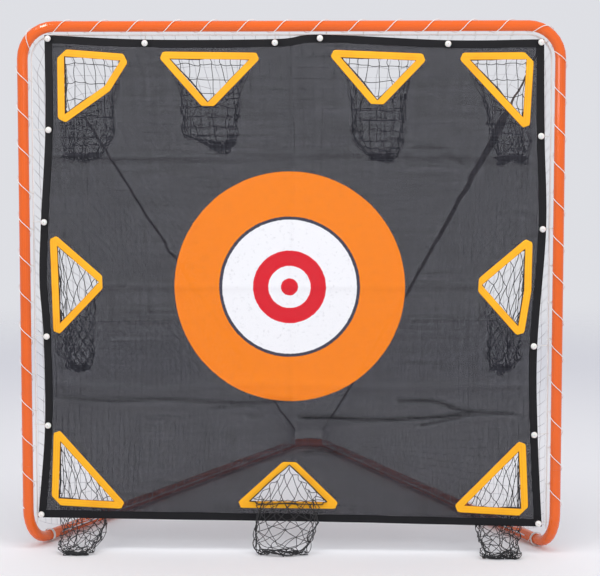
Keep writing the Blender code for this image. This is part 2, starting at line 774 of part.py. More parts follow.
def add_fastener(name, x, z):
    """A ball on the front of the sheet and its hooked elastic, as one piece."""
    outward = tube_point_near(x, z) - Vector((x, z))
    turn = Matrix.Rotation(-math.atan2(outward.y, outward.x), 4, "Y")
    place = Matrix.Translation((x, 0, z)) @ turn
    route = hook_points(outward.length - ROPE_INWARD)
    curve = round_curve(name + "_elastic", route, ELASTIC_RADIUS, 4, True)
    elastic = add_cutter(name + "_elastic", mesh_from_curve(curve, True), place)
    work = bmesh.new()
    bmesh.ops.create_uvsphere(work, u_segments=8, v_segments=BALL_RINGS, radius=BALL_RADIUS,
                              matrix=Matrix.Translation((0, -BALL_OUT, 0)))
    mesh = bpy.data.meshes.new(name)
    work.to_mesh(mesh)
    work.free()
    ball = add_piece(name, mesh, WHITE_PLASTIC, place)
    boolean(ball, elastic, "UNION")


def build_fasteners():
    """The sixteen fasteners: numbered along the top, then down each side."""
    for number, (x, z) in enumerate(all_fasteners(), 1):
        add_fastener("ball_tie_{:02d}".format(number), x, z)


# ----------------------------------------------------------------- goal net

def net_foot_half_width(depth):
    """Half the net's width at the ground, just inside the ground bars."""
    bar_x = POST_X * (1 - depth / BASE_CORNER_DEPTH)
    return bar_x - NET_INSET / math.cos(REAR_HALF_ANGLE)


def net_section(share):
    """The net's outline across the goal, at a share of the way to the back."""
    front_half = POST_X - NET_INSET
    depth = NET_INSET + (NET_REAR - NET_INSET) * share
    bottom_half = net_foot_half_width(depth)
    top_half = front_half * (1 - share) + net_foot_half_width(NET_REAR) * share
    top_z = (CROSSBAR_Z - NET_INSET) * (1 - share) + NET_REAR_TOP * share
    top_z -= 4 * NET_SAG * share * (1 - share)
    return [Vector((-bottom_half, depth, NET_BOTTOM)), Vector((-top_half, depth, top_z)),
            Vector((top_half, depth, top_z)), Vector((bottom_half, depth, NET_BOTTOM))]


def build_net():
    """The net behind the mouth: one thin tent of a top and two sides, open to the front."""
    work = bmesh.new()
    rows = [[work.verts.new(point) for point in net_section(step / NET_SECTIONS)]
            for step in range(NET_SECTIONS + 1)]
    for row, following in zip(rows, rows[1:]):
        for index in range(3):
            work.faces.new((row[index], row[index + 1], following[index + 1],
                            following[index]))
    mesh = bpy.data.meshes.new("goal_net")
    work.to_mesh(mesh)
    work.free()
    net = add_piece("goal_net", mesh, WHITE_NET)
    solidify(net, NET_THICKNESS)


def main():
    """Build the goal."""
    build_joints(build_tubes())
    build_lacing()
    build_sheet()
    build_bags()
    build_fasteners()
    build_net()


main()
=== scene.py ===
"""A lacrosse goal with a nine-pocket target sheet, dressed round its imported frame.

Units are metres and +Z is up. Goal coordinates run x across the mouth, y from the plane of
the mouth towards the back, and z up from the ground; the sheet's place in the frame says how
far they are shifted along Y from the world's.
"""
import json
import logging
import math
from collections.abc import Sequence
from dataclasses import dataclass, field
from enum import Enum
from typing import Any

import bmesh
import bpy
import numpy as np
from mathutils import Euler, Matrix, Vector


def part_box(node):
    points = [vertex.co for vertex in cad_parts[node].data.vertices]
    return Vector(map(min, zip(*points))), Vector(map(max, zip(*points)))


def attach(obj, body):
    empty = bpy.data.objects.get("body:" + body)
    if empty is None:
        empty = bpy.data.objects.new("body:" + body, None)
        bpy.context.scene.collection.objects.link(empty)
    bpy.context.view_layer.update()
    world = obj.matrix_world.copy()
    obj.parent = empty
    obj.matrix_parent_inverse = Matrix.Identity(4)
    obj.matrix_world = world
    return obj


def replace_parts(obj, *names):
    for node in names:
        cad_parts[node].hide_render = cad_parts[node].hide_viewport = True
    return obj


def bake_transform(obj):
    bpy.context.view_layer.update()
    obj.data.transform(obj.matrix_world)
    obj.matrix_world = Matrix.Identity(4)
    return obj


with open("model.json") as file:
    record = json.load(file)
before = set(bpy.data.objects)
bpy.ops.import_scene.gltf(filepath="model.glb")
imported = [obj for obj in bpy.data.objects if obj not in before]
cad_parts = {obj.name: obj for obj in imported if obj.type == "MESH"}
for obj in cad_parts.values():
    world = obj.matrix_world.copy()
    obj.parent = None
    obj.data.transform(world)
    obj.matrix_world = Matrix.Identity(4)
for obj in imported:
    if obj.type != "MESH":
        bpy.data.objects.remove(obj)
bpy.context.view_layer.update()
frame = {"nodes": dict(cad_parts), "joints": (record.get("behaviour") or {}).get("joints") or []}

LOG = logging.getLogger("goal")
BODY = "goal"
Point = tuple[float, float]
Colour = tuple[float, float, float]


# ------------------------------------------------------------------ shader tools

class Value:
    """A node socket that takes part in arithmetic; each operator adds a Math node."""

    def __init__(self, shader: "Shader", socket: bpy.types.NodeSocket) -> None:
        """Wrap a socket of a shader."""
        self.shader = shader
        self.socket = socket

    def apply(self, operation: str, *others: Any) -> "Value":
        """Put the socket through a Math node.

        Args:
            operation: the Math node's operation.
            others: its further inputs, as numbers or values.

        Returns:
            The node's output.
        """
        inputs = dict(enumerate((self, *others)))
        node = self.shader.node("ShaderNodeMath", {"operation": operation}, inputs)
        return Value(self.shader, node.outputs[0])

    def flipped(self, operation: str, first: float) -> "Value":
        """Put the socket through a Math node as its second input.

        Args:
            operation: the Math node's operation.
            first: the number for its first input.

        Returns:
            The node's output.
        """
        inputs = {0: first, 1: self}
        node = self.shader.node("ShaderNodeMath", {"operation": operation}, inputs)
        return Value(self.shader, node.outputs[0])

    def __add__(self, other: Any) -> "Value":
        """Self + other."""
        return self.apply("ADD", other)

    def __sub__(self, other: Any) -> "Value":
        """Self - other."""
        return self.apply("SUBTRACT", other)

    def __mul__(self, other: Any) -> "Value":
        """Self * other."""
        return self.apply("MULTIPLY", other)

    def __truediv__(self, other: Any) -> "Value":
        """Self / other."""
        return self.apply("DIVIDE", other)

    def __radd__(self, other: float) -> "Value":
        """Other + self."""
        return self.flipped("ADD", other)

    def __rsub__(self, other: float) -> "Value":
        """Other - self."""
        return self.flipped("SUBTRACT", other)

    def __rmul__(self, other: float) -> "Value":
        """Other * self."""
        return self.flipped("MULTIPLY", other)

    def __gt__(self, other: Any) -> "Value":
        """1 where self is greater than other."""
        return self.apply("GREATER_THAN", other)

    def soft_step(self, low: float, high: float) -> "Value":
        """Rise smoothly from 0 at low to 1 at high.

        Args:
            low: where the rise starts.
            high: where it ends.

        Returns:
            The step's output, between 0 and 1.
        """
        inputs = {"Value": self, "From Min": low, "From Max": high}
        settings = {"interpolation_type": "SMOOTHSTEP"}
        node = self.shader.node("ShaderNodeMapRange", settings, inputs)
        return Value(self.shader, node.outputs["Result"])


class Shader:
    """A material whose nodes are made through one method."""

    def __init__(self, name: str) -> None:
        """Start a material with its Principled node.

        Args:
            name: the material's name.
        """
        self.material = bpy.data.materials.new(name)
        self.material.use_nodes = True
        self.tree = self.material.node_tree
        self.surface = self.tree.nodes["Principled BSDF"]

    def node(self, kind: str, settings: dict[str, Any] | None = None,
             inputs: dict[Any, Any] | None = None) -> bpy.types.Node:
        """Add a node.

        Args:
            kind: the node's type name.
            settings: its properties, set first.
            inputs: numbers, colours or links for its sockets, by name or number.

        Returns:
            The node.
        """
        made = self.tree.nodes.new(kind)
        for key, value in (settings or {}).items():
            setattr(made, key, value)
        for key, value in (inputs or {}).items():
            self.feed(made.inputs[key], value)
        return made

    def feed(self, socket: bpy.types.NodeSocket, value: Any) -> None:
        """Set or link one socket.

        Args:
            socket: an input of a node.
            value: a number, a colour, or what it is linked to.
        """
        if isinstance(value, Value):
            self.tree.links.new(value.socket, socket)
        elif isinstance(value, bpy.types.NodeSocket):
            self.tree.links.new(value, socket)
        elif isinstance(value, tuple) and socket.type == "RGBA" and len(value) == 3:
            socket.default_value = (*value, 1)
        else:
            socket.default_value = value

    def set(self, **inputs: Any) -> None:
        """Set or link sockets of the Principled node, with _ for a space in a name."""
        for key, value in inputs.items():
            self.feed(self.surface.inputs[key.replace("_", " ")], value)

    def place(self) -> bpy.types.NodeSocket:
        """Where a point of the surface is, in the goal's metres."""
        return self.node("ShaderNodeTexCoord").outputs["Object"]

    def axes(self, vector: bpy.types.NodeSocket) -> tuple[Value, Value, Value]:
        """The three parts of a vector."""
        node = self.node("ShaderNodeSeparateXYZ", None, {0: vector})
        return tuple(Value(self, output) for output in node.outputs)

    def along_across(self) -> tuple[Value, Value]:
        """Metres along a strip or cord, and metres across it, from its own map."""
        along, across, _ = self.axes(self.node("ShaderNodeTexCoord").outputs["UV"])
        return along, across

    def vector(self, x: Any, y: Any, z: Any = 0.0) -> bpy.types.NodeSocket:
        """A vector of three values."""
        return self.node("ShaderNodeCombineXYZ", None, {0: x, 1: y, 2: z}).outputs[0]

    def noise(self, vector: bpy.types.NodeSocket, scale: float, detail: float = 2.0) -> Value:
        """Fractal noise.

        Args:
            vector: where it is read.
            scale: its lumps to the metre.
            detail: its octaves.

        Returns:
            A value about 0.5.
        """
        inputs = {"Vector": vector, "Scale": scale, "Detail": detail}
        return Value(self, self.node("ShaderNodeTexNoise", None, inputs).outputs[0])

    def blend(self, factor: Any, first: Any, second: Any) -> bpy.types.NodeSocket:
        """A colour between two others.

        Args:
            factor: 0 for the first, 1 for the second.
            first: a colour or a link.
            second: a colour or a link.

        Returns:
            The mixed colour.
        """
        node = self.node("ShaderNodeMix", {"data_type": "RGBA"}, {0: factor})
        self.feed(node.inputs[6], first)
        self.feed(node.inputs[7], second)
        return node.outputs[2]

    def relief(self, height: Value, distance: float, strength: float = 1.0) -> None:
        """Bump the surface.

        Args:
            height: the relief, from 0 to 1.
            distance: how many metres 1 stands for.
            strength: how strongly it shows.
        """
        inputs = {"Height": height, "Distance": distance, "Strength": strength}
        bump = self.node("ShaderNodeBump", None, inputs)
        self.feed(self.surface.inputs["Normal"], bump.outputs[0])


# ---------------------------------------------------------------------- finishes

@dataclass(frozen=True)
class PowderCoat:
    """Glossy powder coat on steel tube, with faint orange peel and scuffs by the ground."""

    colour: Colour = (0.80, 0.120, 0.005)
    worn: Colour = (0.64, 0.098, 0.006)
    roughness: float = 0.15
    peel: float = 0.000035

    def material(self) -> bpy.types.Material:
        """Make the finish.

        Returns:
            Its material.
        """
        shader = Shader("orange_powder_coat")
        place = shader.place()
        height = shader.axes(place)[2]
        cloud = shader.noise(place, 5.0, 4.0)
        specks = shader.noise(place, 160.0, 3.0)
        low = 1 - height.soft_step(0.02, 0.16)
        scuffs = specks.soft_step(0.60, 0.72) * (low * 0.7 + 0.10)
        tone = shader.blend(cloud.soft_step(0.35, 0.7) * 0.35, self.colour, self.worn)
        shader.set(Base_Color=shader.blend(scuffs, tone, self.worn),
                   Roughness=scuffs * 0.35 + cloud * 0.08 + self.roughness - 0.04,
                   Coat_Weight=0.25, Coat_Roughness=0.04, IOR=1.42)
        peel = shader.noise(place, 900.0, 1.0) + shader.noise(place, 260.0, 1.0)
        shader.relief(peel, self.peel)
        return shader.material


@dataclass(frozen=True)
class PlatedSteel:
    """Bare plated or spring steel with fine drawn lines."""

    name: str
    colour: Colour
    roughness: float = 0.30

    def material(self) -> bpy.types.Material:
        """Make the finish.

        Returns:
            Its material.
        """
        shader = Shader(self.name)
        place = shader.place()
        patches = shader.noise(place, 240.0, 3.0)
        grain = shader.noise(place, 2500.0, 2.0)
        dull = tuple(part * 0.62 for part in self.colour)
        shader.set(Base_Color=shader.blend(patches.soft_step(0.4, 0.75), self.colour, dull),
                   Roughness=grain * 0.2 + patches * 0.15 + self.roughness - 0.1, Metallic=1.0)
        shader.relief(grain, 0.00002)
        return shader.material


@dataclass(frozen=True)
class CordFinish:
    """Braided or twisted cord: slanting plaits along its length, painted shade between them, and
    soil in patches.
    """

    name: str
    colour: Colour
    shade: Colour
    plait: float = 0.0028
    relief: float = 0.00018

    def material(self) -> bpy.types.Material:
        """Make the finish.

        Returns:
            Its material.
        """
        shader = Shader(self.name)
        along, across = shader.along_across()
        slant = along / self.plait
        left = ((slant + across * (1.5 / self.plait)) * math.tau).apply("SINE")
        right = ((slant - across * (1.5 / self.plait)) * math.tau).apply("SINE")
        plait = left.apply("MAXIMUM", right) * 0.5 + 0.5
        fuzz = shader.noise(shader.place(), 900.0, 3.0)
        soil = shader.noise(shader.place(), 7.0, 3.0).soft_step(0.45, 0.8)
        # Painted shade in the hollows between the plaits, and soil in patches, both blend towards
        # the shade colour
        tone = shader.blend((1 - plait) * 0.65 + soil * 0.2, self.colour, self.shade)
        shader.set(Base_Color=tone, Roughness=fuzz * 0.25 + 0.62)
        shader.relief(plait + fuzz * 0.3, self.relief)
        return shader.material


@dataclass(frozen=True)
class Webbing:
    """Flat woven tape: ribs across it with painted shade between its threads, darker edges, and
    worn fuzz.
    """

    name: str
    colour: Colour
    shade: Colour
    width: float
    rib: float = 0.0016
    relief: float = 0.00016
    shine: float = 0.15

    def material(self) -> bpy.types.Material:
        """Make the finish.

        Returns:
            Its material.
        """
        shader = Shader(self.name)
        along, across = shader.along_across()
        rows = (along * (math.tau / self.rib)).apply("SINE")
        columns = (across * (math.tau / (self.rib * 1.6))).apply("SINE")
        weave = (rows * columns) * 0.5 + 0.5
        bands = (across * (math.tau / (self.width / 3))).apply("COSINE") * 0.5 + 0.5
        fuzz = shader.noise(shader.place(), 700.0, 3.0)
        soil = shader.noise(shader.place(), 9.0, 4.0).soft_step(0.40, 0.80)
        edge = (across / self.width - 0.5).apply("ABSOLUTE").soft_step(0.40, 0.5)
        # Painted shade between the threads, woven bands, soil in patches, and darker edges, all
        # towards the shade colour
        dark = (1 - weave) * 0.35 + bands * 0.14 + soil * 0.28 + edge * 0.25
        shader.set(Base_Color=shader.blend(dark, self.colour, self.shade),
                   Roughness=fuzz * 0.2 + 0.66, Specular_IOR_Level=self.shine)
        shader.relief(weave + bands * 0.5 + fuzz * 0.3, self.relief)
        return shader.material


@dataclass(frozen=True)
class Target:
    """The plain bullseye printed on the sheet: rings about a centre."""

    centre: Point = (-0.002, 0.942)
    outer: float = 0.404
    line_outer: float = 0.247
    line_inner: float = 0.236
    bull_outer: float = 0.128
    bull_inner: float = 0.074
    dot: float = 0.030
    orange: Colour = (0.86, 0.215, 0.012)
    grey: Colour = (0.050, 0.050, 0.075)
    white: Colour = (0.84, 0.84, 0.86)
    red: Colour = (0.66, 0.014, 0.026)


@dataclass(frozen=True)
class MeshCloth:
    """Open woven mesh: threads both ways, small holes between them, a printed target, and painted
    shade in its folds.
    """

    colour: Colour = (0.008, 0.008, 0.012)
    light: Colour = (0.042, 0.042, 0.052)
    pitch: float = 0.0032
    hole: float = 0.138
    target: Target = Target()

    def material(self) -> bpy.types.Material:
        """Make the finish.

        Returns:
            Its material.
        """
        shader = Shader("charcoal_mesh_cloth")
        place = shader.place()
        x, _, z = shader.axes(place)
        wander = shader.noise(place, 6.0, 2.0) * 0.004
        warp = ((x + wander) / self.pitch).apply("PINGPONG", 0.5)
        weft = ((z + wander) / self.pitch).apply("PINGPONG", 0.5)
        slubs = (shader.noise(shader.vector(x * 3.0, 0.0, z * 210.0), 1.0, 3.0) * 1.3
                 + shader.noise(shader.vector(x * 190.0, 0.0, z * 4.0), 1.0, 3.0))
        heather = shader.noise(place, 420.0, 2.0)
        cloth = shader.blend((slubs - 0.92) * 1.7 + (heather - 0.5) * 0.4, self.colour, self.light)
        print_mask, ink = self.printed(shader, x, z)
        # Painted shade along the sheet's folds, read from the crease attribute
        crease = Value(shader, shader.node("ShaderNodeAttribute",
                                           {"attribute_name": "crease"}).outputs["Fac"])
        worn = shader.noise(place, 90.0, 4.0)
        cover = print_mask * (1 - worn.soft_step(0.55, 0.85) * 0.22)
        tone = shader.blend(cover, cloth, ink)
        # Painted shade: the folds are painted near black, less so over the print
        tone = shader.blend(crease * (0.95 - print_mask * 0.6), tone, (0.003, 0.003, 0.004))
        open_share = print_mask * (self.hole * 0.6) + (0.5 - self.hole)
        holes = (warp > open_share) * (weft > open_share)
        # The painted fold shade also closes the holes, so no background shows through it
        shader.set(Base_Color=tone, Roughness=heather * 0.2 + 0.66,
                   Alpha=1 - holes * (1 - crease * 0.9), Specular_IOR_Level=0.12)
        threads = warp * warp * 4.0 + weft * weft * 4.0
        shader.relief(threads * -0.5 + heather * 0.25 + 1.0, 0.00035)
        return shader.material

    def printed(self, shader: Shader, x: Value, z: Value) -> tuple[Value, bpy.types.NodeSocket]:
        """The print.

        Args:
            shader: the shader that it belongs to.
            x: metres across.
            z: metres up.

        Returns:
            Where there is ink, and the ink's colour.
        """
        target = self.target
        across = x - target.centre[0]
        up = z - target.centre[1]
        bleed = (shader.noise(shader.place(), 120.0, 2.0) - 0.5) * 0.004
        radius = (across * across + up * up).apply("SQRT") + bleed
        edge = 0.0012
        bull = (radius.soft_step(target.bull_inner - edge, target.bull_inner + edge)
                * (1 - radius.soft_step(target.bull_outer - edge, target.bull_outer + edge)))
        dot = 1 - radius.soft_step(target.dot - edge, target.dot + edge)
        ink = shader.blend(bull + dot, target.white, target.red)
        line = radius.soft_step(target.line_inner - edge, target.line_inner + edge)
        ink = shader.blend(line, ink, target.grey)
        ring = radius.soft_step(target.line_outer - edge, target.line_outer + edge)
        ink = shader.blend(ring, ink, target.orange)
        streaks = shader.noise(shader.vector(x * 25.0, 0.0, z * 60.0), 1.0, 3.0)
        ink = shader.blend((streaks - 0.5) * 0.5 * ring, ink, (0.50, 0.11, 0.01))
        return 1 - radius.soft_step(target.outer - edge, target.outer + edge), ink


@dataclass(frozen=True)
class BallPlastic:
    """Moulded white plastic with faint handling marks."""

    colour: Colour = (0.86, 0.85, 0.82)
    soiled: Colour = (0.55, 0.50, 0.44)

    def material(self) -> bpy.types.Material:
        """Make the finish.

        Returns:
            Its material.
        """
        shader = Shader("white_moulded_plastic")
        place = shader.place()
        marks = shader.noise(place, 210.0, 4.0).soft_step(0.52, 0.80)
        grain = shader.noise(place, 1800.0, 1.0)
        shader.set(Base_Color=shader.blend(marks * 0.45, self.colour, self.soiled),
                   Roughness=marks * 0.2 + 0.30, Subsurface_Weight=0.08)
        shader.relief(grain, 0.00002)
        return shader.material


@dataclass(frozen=True)
class StudioPaper:
    """The plain pale floor, with a painted pool of light near the goal, which fades out far from
    the goal.
    """

    floor: Colour = (0.90, 0.895, 0.91)
    far: Colour = (0.80, 0.80, 0.84)
    fade_from: float = 3.6
    fade_to: float = 8.4

    def material(self) -> bpy.types.Material:
        """Make the finish.

        Returns:
            Its material.
        """
        shader = Shader("studio_paper")
        place = shader.place()
        across, depth, _ = shader.axes(place)
        reach = (across * across + depth * depth).apply("SQRT")
        cloud = shader.noise(place, 0.8, 2.0)
        # Painted pool of light: the floor is painted paler near the goal and greyer further off
        share = reach.soft_step(1.6, 5.0)
        shader.set(Base_Color=shader.blend(share, self.floor, self.far),
                   Roughness=cloud * 0.1 + 0.75, Specular_IOR_Level=0.2,
                   Alpha=1 - reach.soft_step(self.fade_from, self.fade_to))
        return shader.material


# -------------------------------------------------------------------- mesh tools

class Mesher:
    """Gathers faces and their texture coordinates, and makes one piece of them."""

    def __init__(self) -> None:
        """Start empty."""
        self.points: list[np.ndarray] = []
        self.faces: list[np.ndarray] = []
        self.maps: list[np.ndarray] = []
        self.count = 0

    def add(self, points: np.ndarray, faces: np.ndarray, maps: np.ndarray | None = None) -> None:
        """Take some faces.

        Args:
            points: their corners, one row each.
            faces: rows of corner numbers, all of one length.
            maps: one (along, across) for each face corner, or None for noughts.
        """
        if maps is None:
            maps = np.zeros((*faces.shape, 2))
        self.points.append(points.reshape(-1, 3))
        self.faces.append(faces + self.count)
        self.maps.append(maps.reshape(-1, 2))
        self.count += len(self.points[-1])

    def tubes(self, paths: np.ndarray, radius: Any, sides: int, closed: bool = False) -> None:
        """Round cords, all with the same number of points.

        Args:
            paths: cords, points and coordinates.
            radius: one radius, or one for each cord and point.
            sides: how many sides the cord has.
            closed: whether each cord is a ring.
        """
        paths = np.asarray(paths, float)
        cords, steps, _ = paths.shape
        if closed:
            tangent = np.roll(paths, -1, 1) - np.roll(paths, 1, 1)
        else:
            tangent = np.gradient(paths, axis=1)
        tangent /= np.maximum(np.linalg.norm(tangent, axis=2, keepdims=True), 1e-9)
        side = self.carried(tangent)
        other = np.cross(tangent, side)
        angle = np.arange(sides) * math.tau / sides
        thick = np.broadcast_to(np.asarray(radius, float), (cords, steps))[:, :, None, None]
        ring = (side[:, :, None] * np.cos(angle)[:, None]
                + other[:, :, None] * np.sin(angle)[:, None]) * thick
        points = paths[:, :, None] + ring
        number = np.arange(points[..., 0].size).reshape(cords, steps, sides)
        run = np.zeros((cords, steps + 1))
        legs = np.linalg.norm(np.roll(paths, -1, 1) - paths, axis=2)
        run[:, 1:] = np.cumsum(legs, axis=1)
        last = steps if closed else steps - 1
        after = np.roll(number, -1, 1)
        here, there = number[:, :last], after[:, :last]
        quads = np.stack([here, np.roll(here, -1, 2), np.roll(there, -1, 2), there], -1)
        around = np.arange(sides + 1) * math.tau * float(np.mean(thick)) / sides
        along = np.stack([run[:, :last], run[:, 1:last + 1]], -1)
        maps = np.zeros((*quads.shape, 2))
        maps[..., 0:2, 0] = along[:, :, None, :1]
        maps[..., 2:4, 0] = along[:, :, None, 1:]
        maps[..., 0, 1] = maps[..., 3, 1] = around[:-1]
        maps[..., 1, 1] = maps[..., 2, 1] = around[1:]
        self.add(points, quads.reshape(-1, 4), maps)
        if not closed:
            self.cap(number[:, 0, ::-1])
            self.cap(number[:, -1])

    def cap(self, rings: np.ndarray, maps: np.ndarray | None = None) -> None:
        """Close ends of the shape that was added last, with flat faces on its own points.

        Args:
            rings: each end's corner numbers, counted within that shape.
            maps: one (along, across) for each corner, or None for noughts.
        """
        self.faces.append(rings + self.count - len(self.points[-1]))
        self.maps.append(np.zeros((rings.size, 2)) if maps is None else maps)

    @staticmethod
    def carried(tangent: np.ndarray) -> np.ndarray:
        """A direction across each point of each cord, turned as little as can be.

        Args:
            tangent: the cords' directions.

        Returns:
            Unit directions across them.
        """
        mean = np.abs(tangent).mean(axis=1)
        start = np.zeros((len(tangent), 3))
        start[np.arange(len(tangent)), np.argmin(mean, axis=1)] = 1
        across = np.empty_like(tangent)
        for step in range(tangent.shape[1]):
            along = tangent[:, step]
            start = start - (start * along).sum(1, keepdims=True) * along
            start /= np.maximum(np.linalg.norm(start, axis=1, keepdims=True), 1e-9)
            across[:, step] = start
        return across

    def lathe(self, profile: Sequence[Point], steps: int, place: Matrix) -> None:
        """Turn a profile round the place's Z axis.

        Args:
            profile: (radius, level) points; a radius of 0 is a pole.
            steps: how many steps it turns in.
            place: where it stands.
        """
        angle = np.arange(steps) * math.tau / steps
        radius = np.array([point[0] for point in profile])[:, None]
        level = np.array([point[1] for point in profile])[:, None]
        rings = np.stack([radius * np.cos(angle), radius * np.sin(angle),
                          np.broadcast_to(level, (len(profile), steps))], -1)
        matrix = np.array(place)
        points = rings @ matrix[:3, :3].T + matrix[:3, 3]
        number = np.arange(len(profile) * steps).reshape(len(profile), steps)
        here, there = number[:-1], number[1:]
        quads = np.stack([here, np.roll(here, -1, 1), np.roll(there, -1, 1), there], -1)
        run = np.concatenate([[0], np.cumsum(np.hypot(np.diff(radius[:, 0]),
                                                      np.diff(level[:, 0])))])
        maps = np.zeros((*quads.shape, 2))
        around = np.arange(steps + 1) * math.tau / steps * float(radius.max())
        maps[..., 0, 0] = maps[..., 3, 0] = around[:-1]
        maps[..., 1, 0] = maps[..., 2, 0] = around[1:]
        maps[..., 0:2, 1] = run[:-1, None, None]
        maps[..., 2:4, 1] = run[1:, None, None]
        self.add(points, quads.reshape(-1, 4), maps)

    def knots(self, places: np.ndarray, radius: float, round_steps: int) -> None:
        """Small lumps, one at each place.

        Args:
            places: their middles.
            radius: their size.
            round_steps: how many steps each is round; 4 makes an octahedron.
        """
        angle = np.arange(round_steps) * math.tau / round_steps
        belt = np.stack([np.cos(angle), np.sin(angle), np.zeros(round_steps)], -1)
        shape = np.vstack([[0, 0, 1], belt, [0, 0, -1]]) * radius
        points = places[:, None] + shape
        ring = np.arange(round_steps)
        after = (ring + 1) % round_steps
        top = np.stack([np.zeros(round_steps, int), ring + 1, after + 1], -1)
        low = np.stack([np.full(round_steps, round_steps + 1), after + 1, ring + 1], -1)
        faces = np.vstack([top, low])
        step = np.arange(len(places))[:, None, None] * len(shape)
        self.add(points, (faces[None] + step).reshape(-1, 3))

    def piece(self, name: str, shift: float, finish: bpy.types.Material,
              weld: bool = False) -> bpy.types.Object:
        """Make the object, and make it ride on the goal.

        Args:
            name: the piece's name.
            shift: how far goal coordinates are moved along Y.
            finish: its material.
            weld: whether points in the same place are joined.

        Returns:
            The object.
        """
        points = np.vstack(self.points) + (0, shift, 0)
        faces = [row for block in self.faces for row in block.tolist()]
        mesh = bpy.data.meshes.new(name)
        mesh.from_pydata(points.tolist(), [], faces)
        layer = mesh.uv_layers.new(name="strip")
        layer.data.foreach_set("uv", np.vstack(self.maps).astype(np.float32).ravel())
        mesh.shade_smooth()
        mesh.materials.append(finish)
        made = bpy.data.objects.new(name, mesh)
        bpy.context.scene.collection.objects.link(made)
        if weld:
            self.welded(mesh)
        mesh.set_sharp_from_angle(angle=math.radians(50))
        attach(made, BODY)
        return made

    @staticmethod
    def welded(mesh: bpy.types.Mesh) -> None:
        """Join points that lie in the same place.

        Args:
            mesh: the mesh to change.
        """
        work = bmesh.new()
        work.from_mesh(mesh)
        bmesh.ops.remove_doubles(work, verts=work.verts, dist=1e-6)
        bmesh.ops.dissolve_degenerate(work, edges=work.edges, dist=1e-7)
        work.to_mesh(mesh)
        work.free()


def unit(vector: np.ndarray) -> np.ndarray:
    """A vector of length one."""
    return vector / max(float(np.linalg.norm(vector)), 1e-12)


def smooth_curve(points: Sequence[Sequence[float]], steps: int) -> np.ndarray:
    """A smooth curve through points.

    Args:
        points: what it goes through.
        steps: how many steps it takes between two of them.

    Returns:
        The curve's points, the last one included.
    """
    given = np.asarray(points, float)
    ends = np.vstack([2 * given[0] - given[1], given, 2 * given[-1] - given[-2]])
    share = (np.arange(steps) / steps)[:, None]
    runs = []
    for before, start, end, after in zip(ends, ends[1:], ends[2:], ends[3:]):
        runs.append(0.5 * (2 * start + (end - before) * share
                           + (2 * before - 5 * start + 4 * end - after) * share ** 2
                           + (3 * start - before - 3 * end + after) * share ** 3))
    return np.vstack([*runs, given[-1:]])


def even_steps(line: np.ndarray, count: int, closed: bool = False) -> np.ndarray:
    """The same line with evenly spaced points.

    Args:
        line: the line's points.
        count: how many points to give it.
        closed: whether it ends where it starts.

    Returns:
        The new points.
    """
    if closed:
        line = np.vstack([line, line[:1]])
    run = np.concatenate([[0], np.cumsum(np.linalg.norm(np.diff(line, axis=0), axis=1))])
    at = np.linspace(0, run[-1], count, endpoint=not closed)
    return np.stack([np.interp(at, run, line[:, axis]) for axis in range(line.shape[1])], -1)


def bent_line(corners: Sequence[Sequence[float]], radius: float, steps: int) -> np.ndarray:
    """Straight runs with rounded corners.

    Args:
        corners: where the runs meet.
        radius: the corners' radius.
        steps: how many steps a corner takes.

    Returns:
        The line's points.
    """
    corners = [np.asarray(corner, float) for corner in corners]
    line = [corners[0]]
    for before, corner, after in zip(corners, corners[1:], corners[2:]):
        back, on = unit(before - corner), unit(after - corner)
        half = math.acos(float(np.clip(back @ on, -1, 1))) / 2
        middle = corner + unit(back + on) * radius / math.sin(half)
        first = Vector(corner + back * radius / math.tan(half) - middle)
        last = Vector(corner + on * radius / math.tan(half) - middle)
        for step in range(steps + 1):
            line.append(middle + np.array(first.normalized().slerp(last.normalized(),
                                                                   step / steps)) * radius)
    line.append(corners[-1])
    return np.array(line)


def inset(outline: np.ndarray, distance: float) -> np.ndarray:
    """An anticlockwise outline moved inward.

    Args:
        outline: its corners.
        distance: how far it moves; below nought it grows.

    Returns:
        The new corners.
    """
    before = outline - np.roll(outline, 1, 0)
    after = np.roll(outline, -1, 0) - outline
    before /= np.linalg.norm(before, axis=1, keepdims=True)
    after /= np.linalg.norm(after, axis=1, keepdims=True)
    first = np.stack([-before[:, 1], before[:, 0]], -1)
    second = np.stack([-after[:, 1], after[:, 0]], -1)
    mitre = (first + second) / (1 + (first * second).sum(1, keepdims=True))
    return outline + mitre * distance


def within(outline: np.ndarray, x: np.ndarray, z: np.ndarray) -> np.ndarray:
    """Tell which points lie in a polygon.

    Args:
        outline: the polygon's corners.
        x: the points' first coordinates.
        z: their second ones.

    Returns:
        True where a point is inside.
    """
    inside = np.zeros(np.shape(x), bool)
    for (x0, z0), (x1, z1) in zip(outline, np.roll(outline, -1, 0)):
        if z0 == z1:
            continue
        crossing = (z0 > z) != (z1 > z)
        inside ^= crossing & (x < (x1 - x0) * (z - z0) / (z1 - z0) + x0)
    return inside


def nearest_on(line: np.ndarray, points: np.ndarray, closed: bool) -> tuple[np.ndarray,
                                                                           np.ndarray]:
    """The nearest places on a line of straight runs.

    Args:
        line: the line's corners.
        points: where they are looked for from, one row each.
        closed: whether the line ends where it starts.

    Returns:
        The places, and how far off they are.
    """
    ends = np.roll(line, -1, 0) if closed else line[1:]
    best = np.full(len(points), np.inf)
    place = points.copy()
    for start, end in zip(line, ends):
        run = end - start
        share = np.clip((points - start) @ run / max(float(run @ run), 1e-12), 0, 1)
        spot = start + share[:, None] * run
        far = np.linalg.norm(points - spot, axis=1)
        closer = far < best
        best[closer] = far[closer]
        place[closer] = spot[closer]
    return place, best


# ------------------------------------------------------------------ the assembly

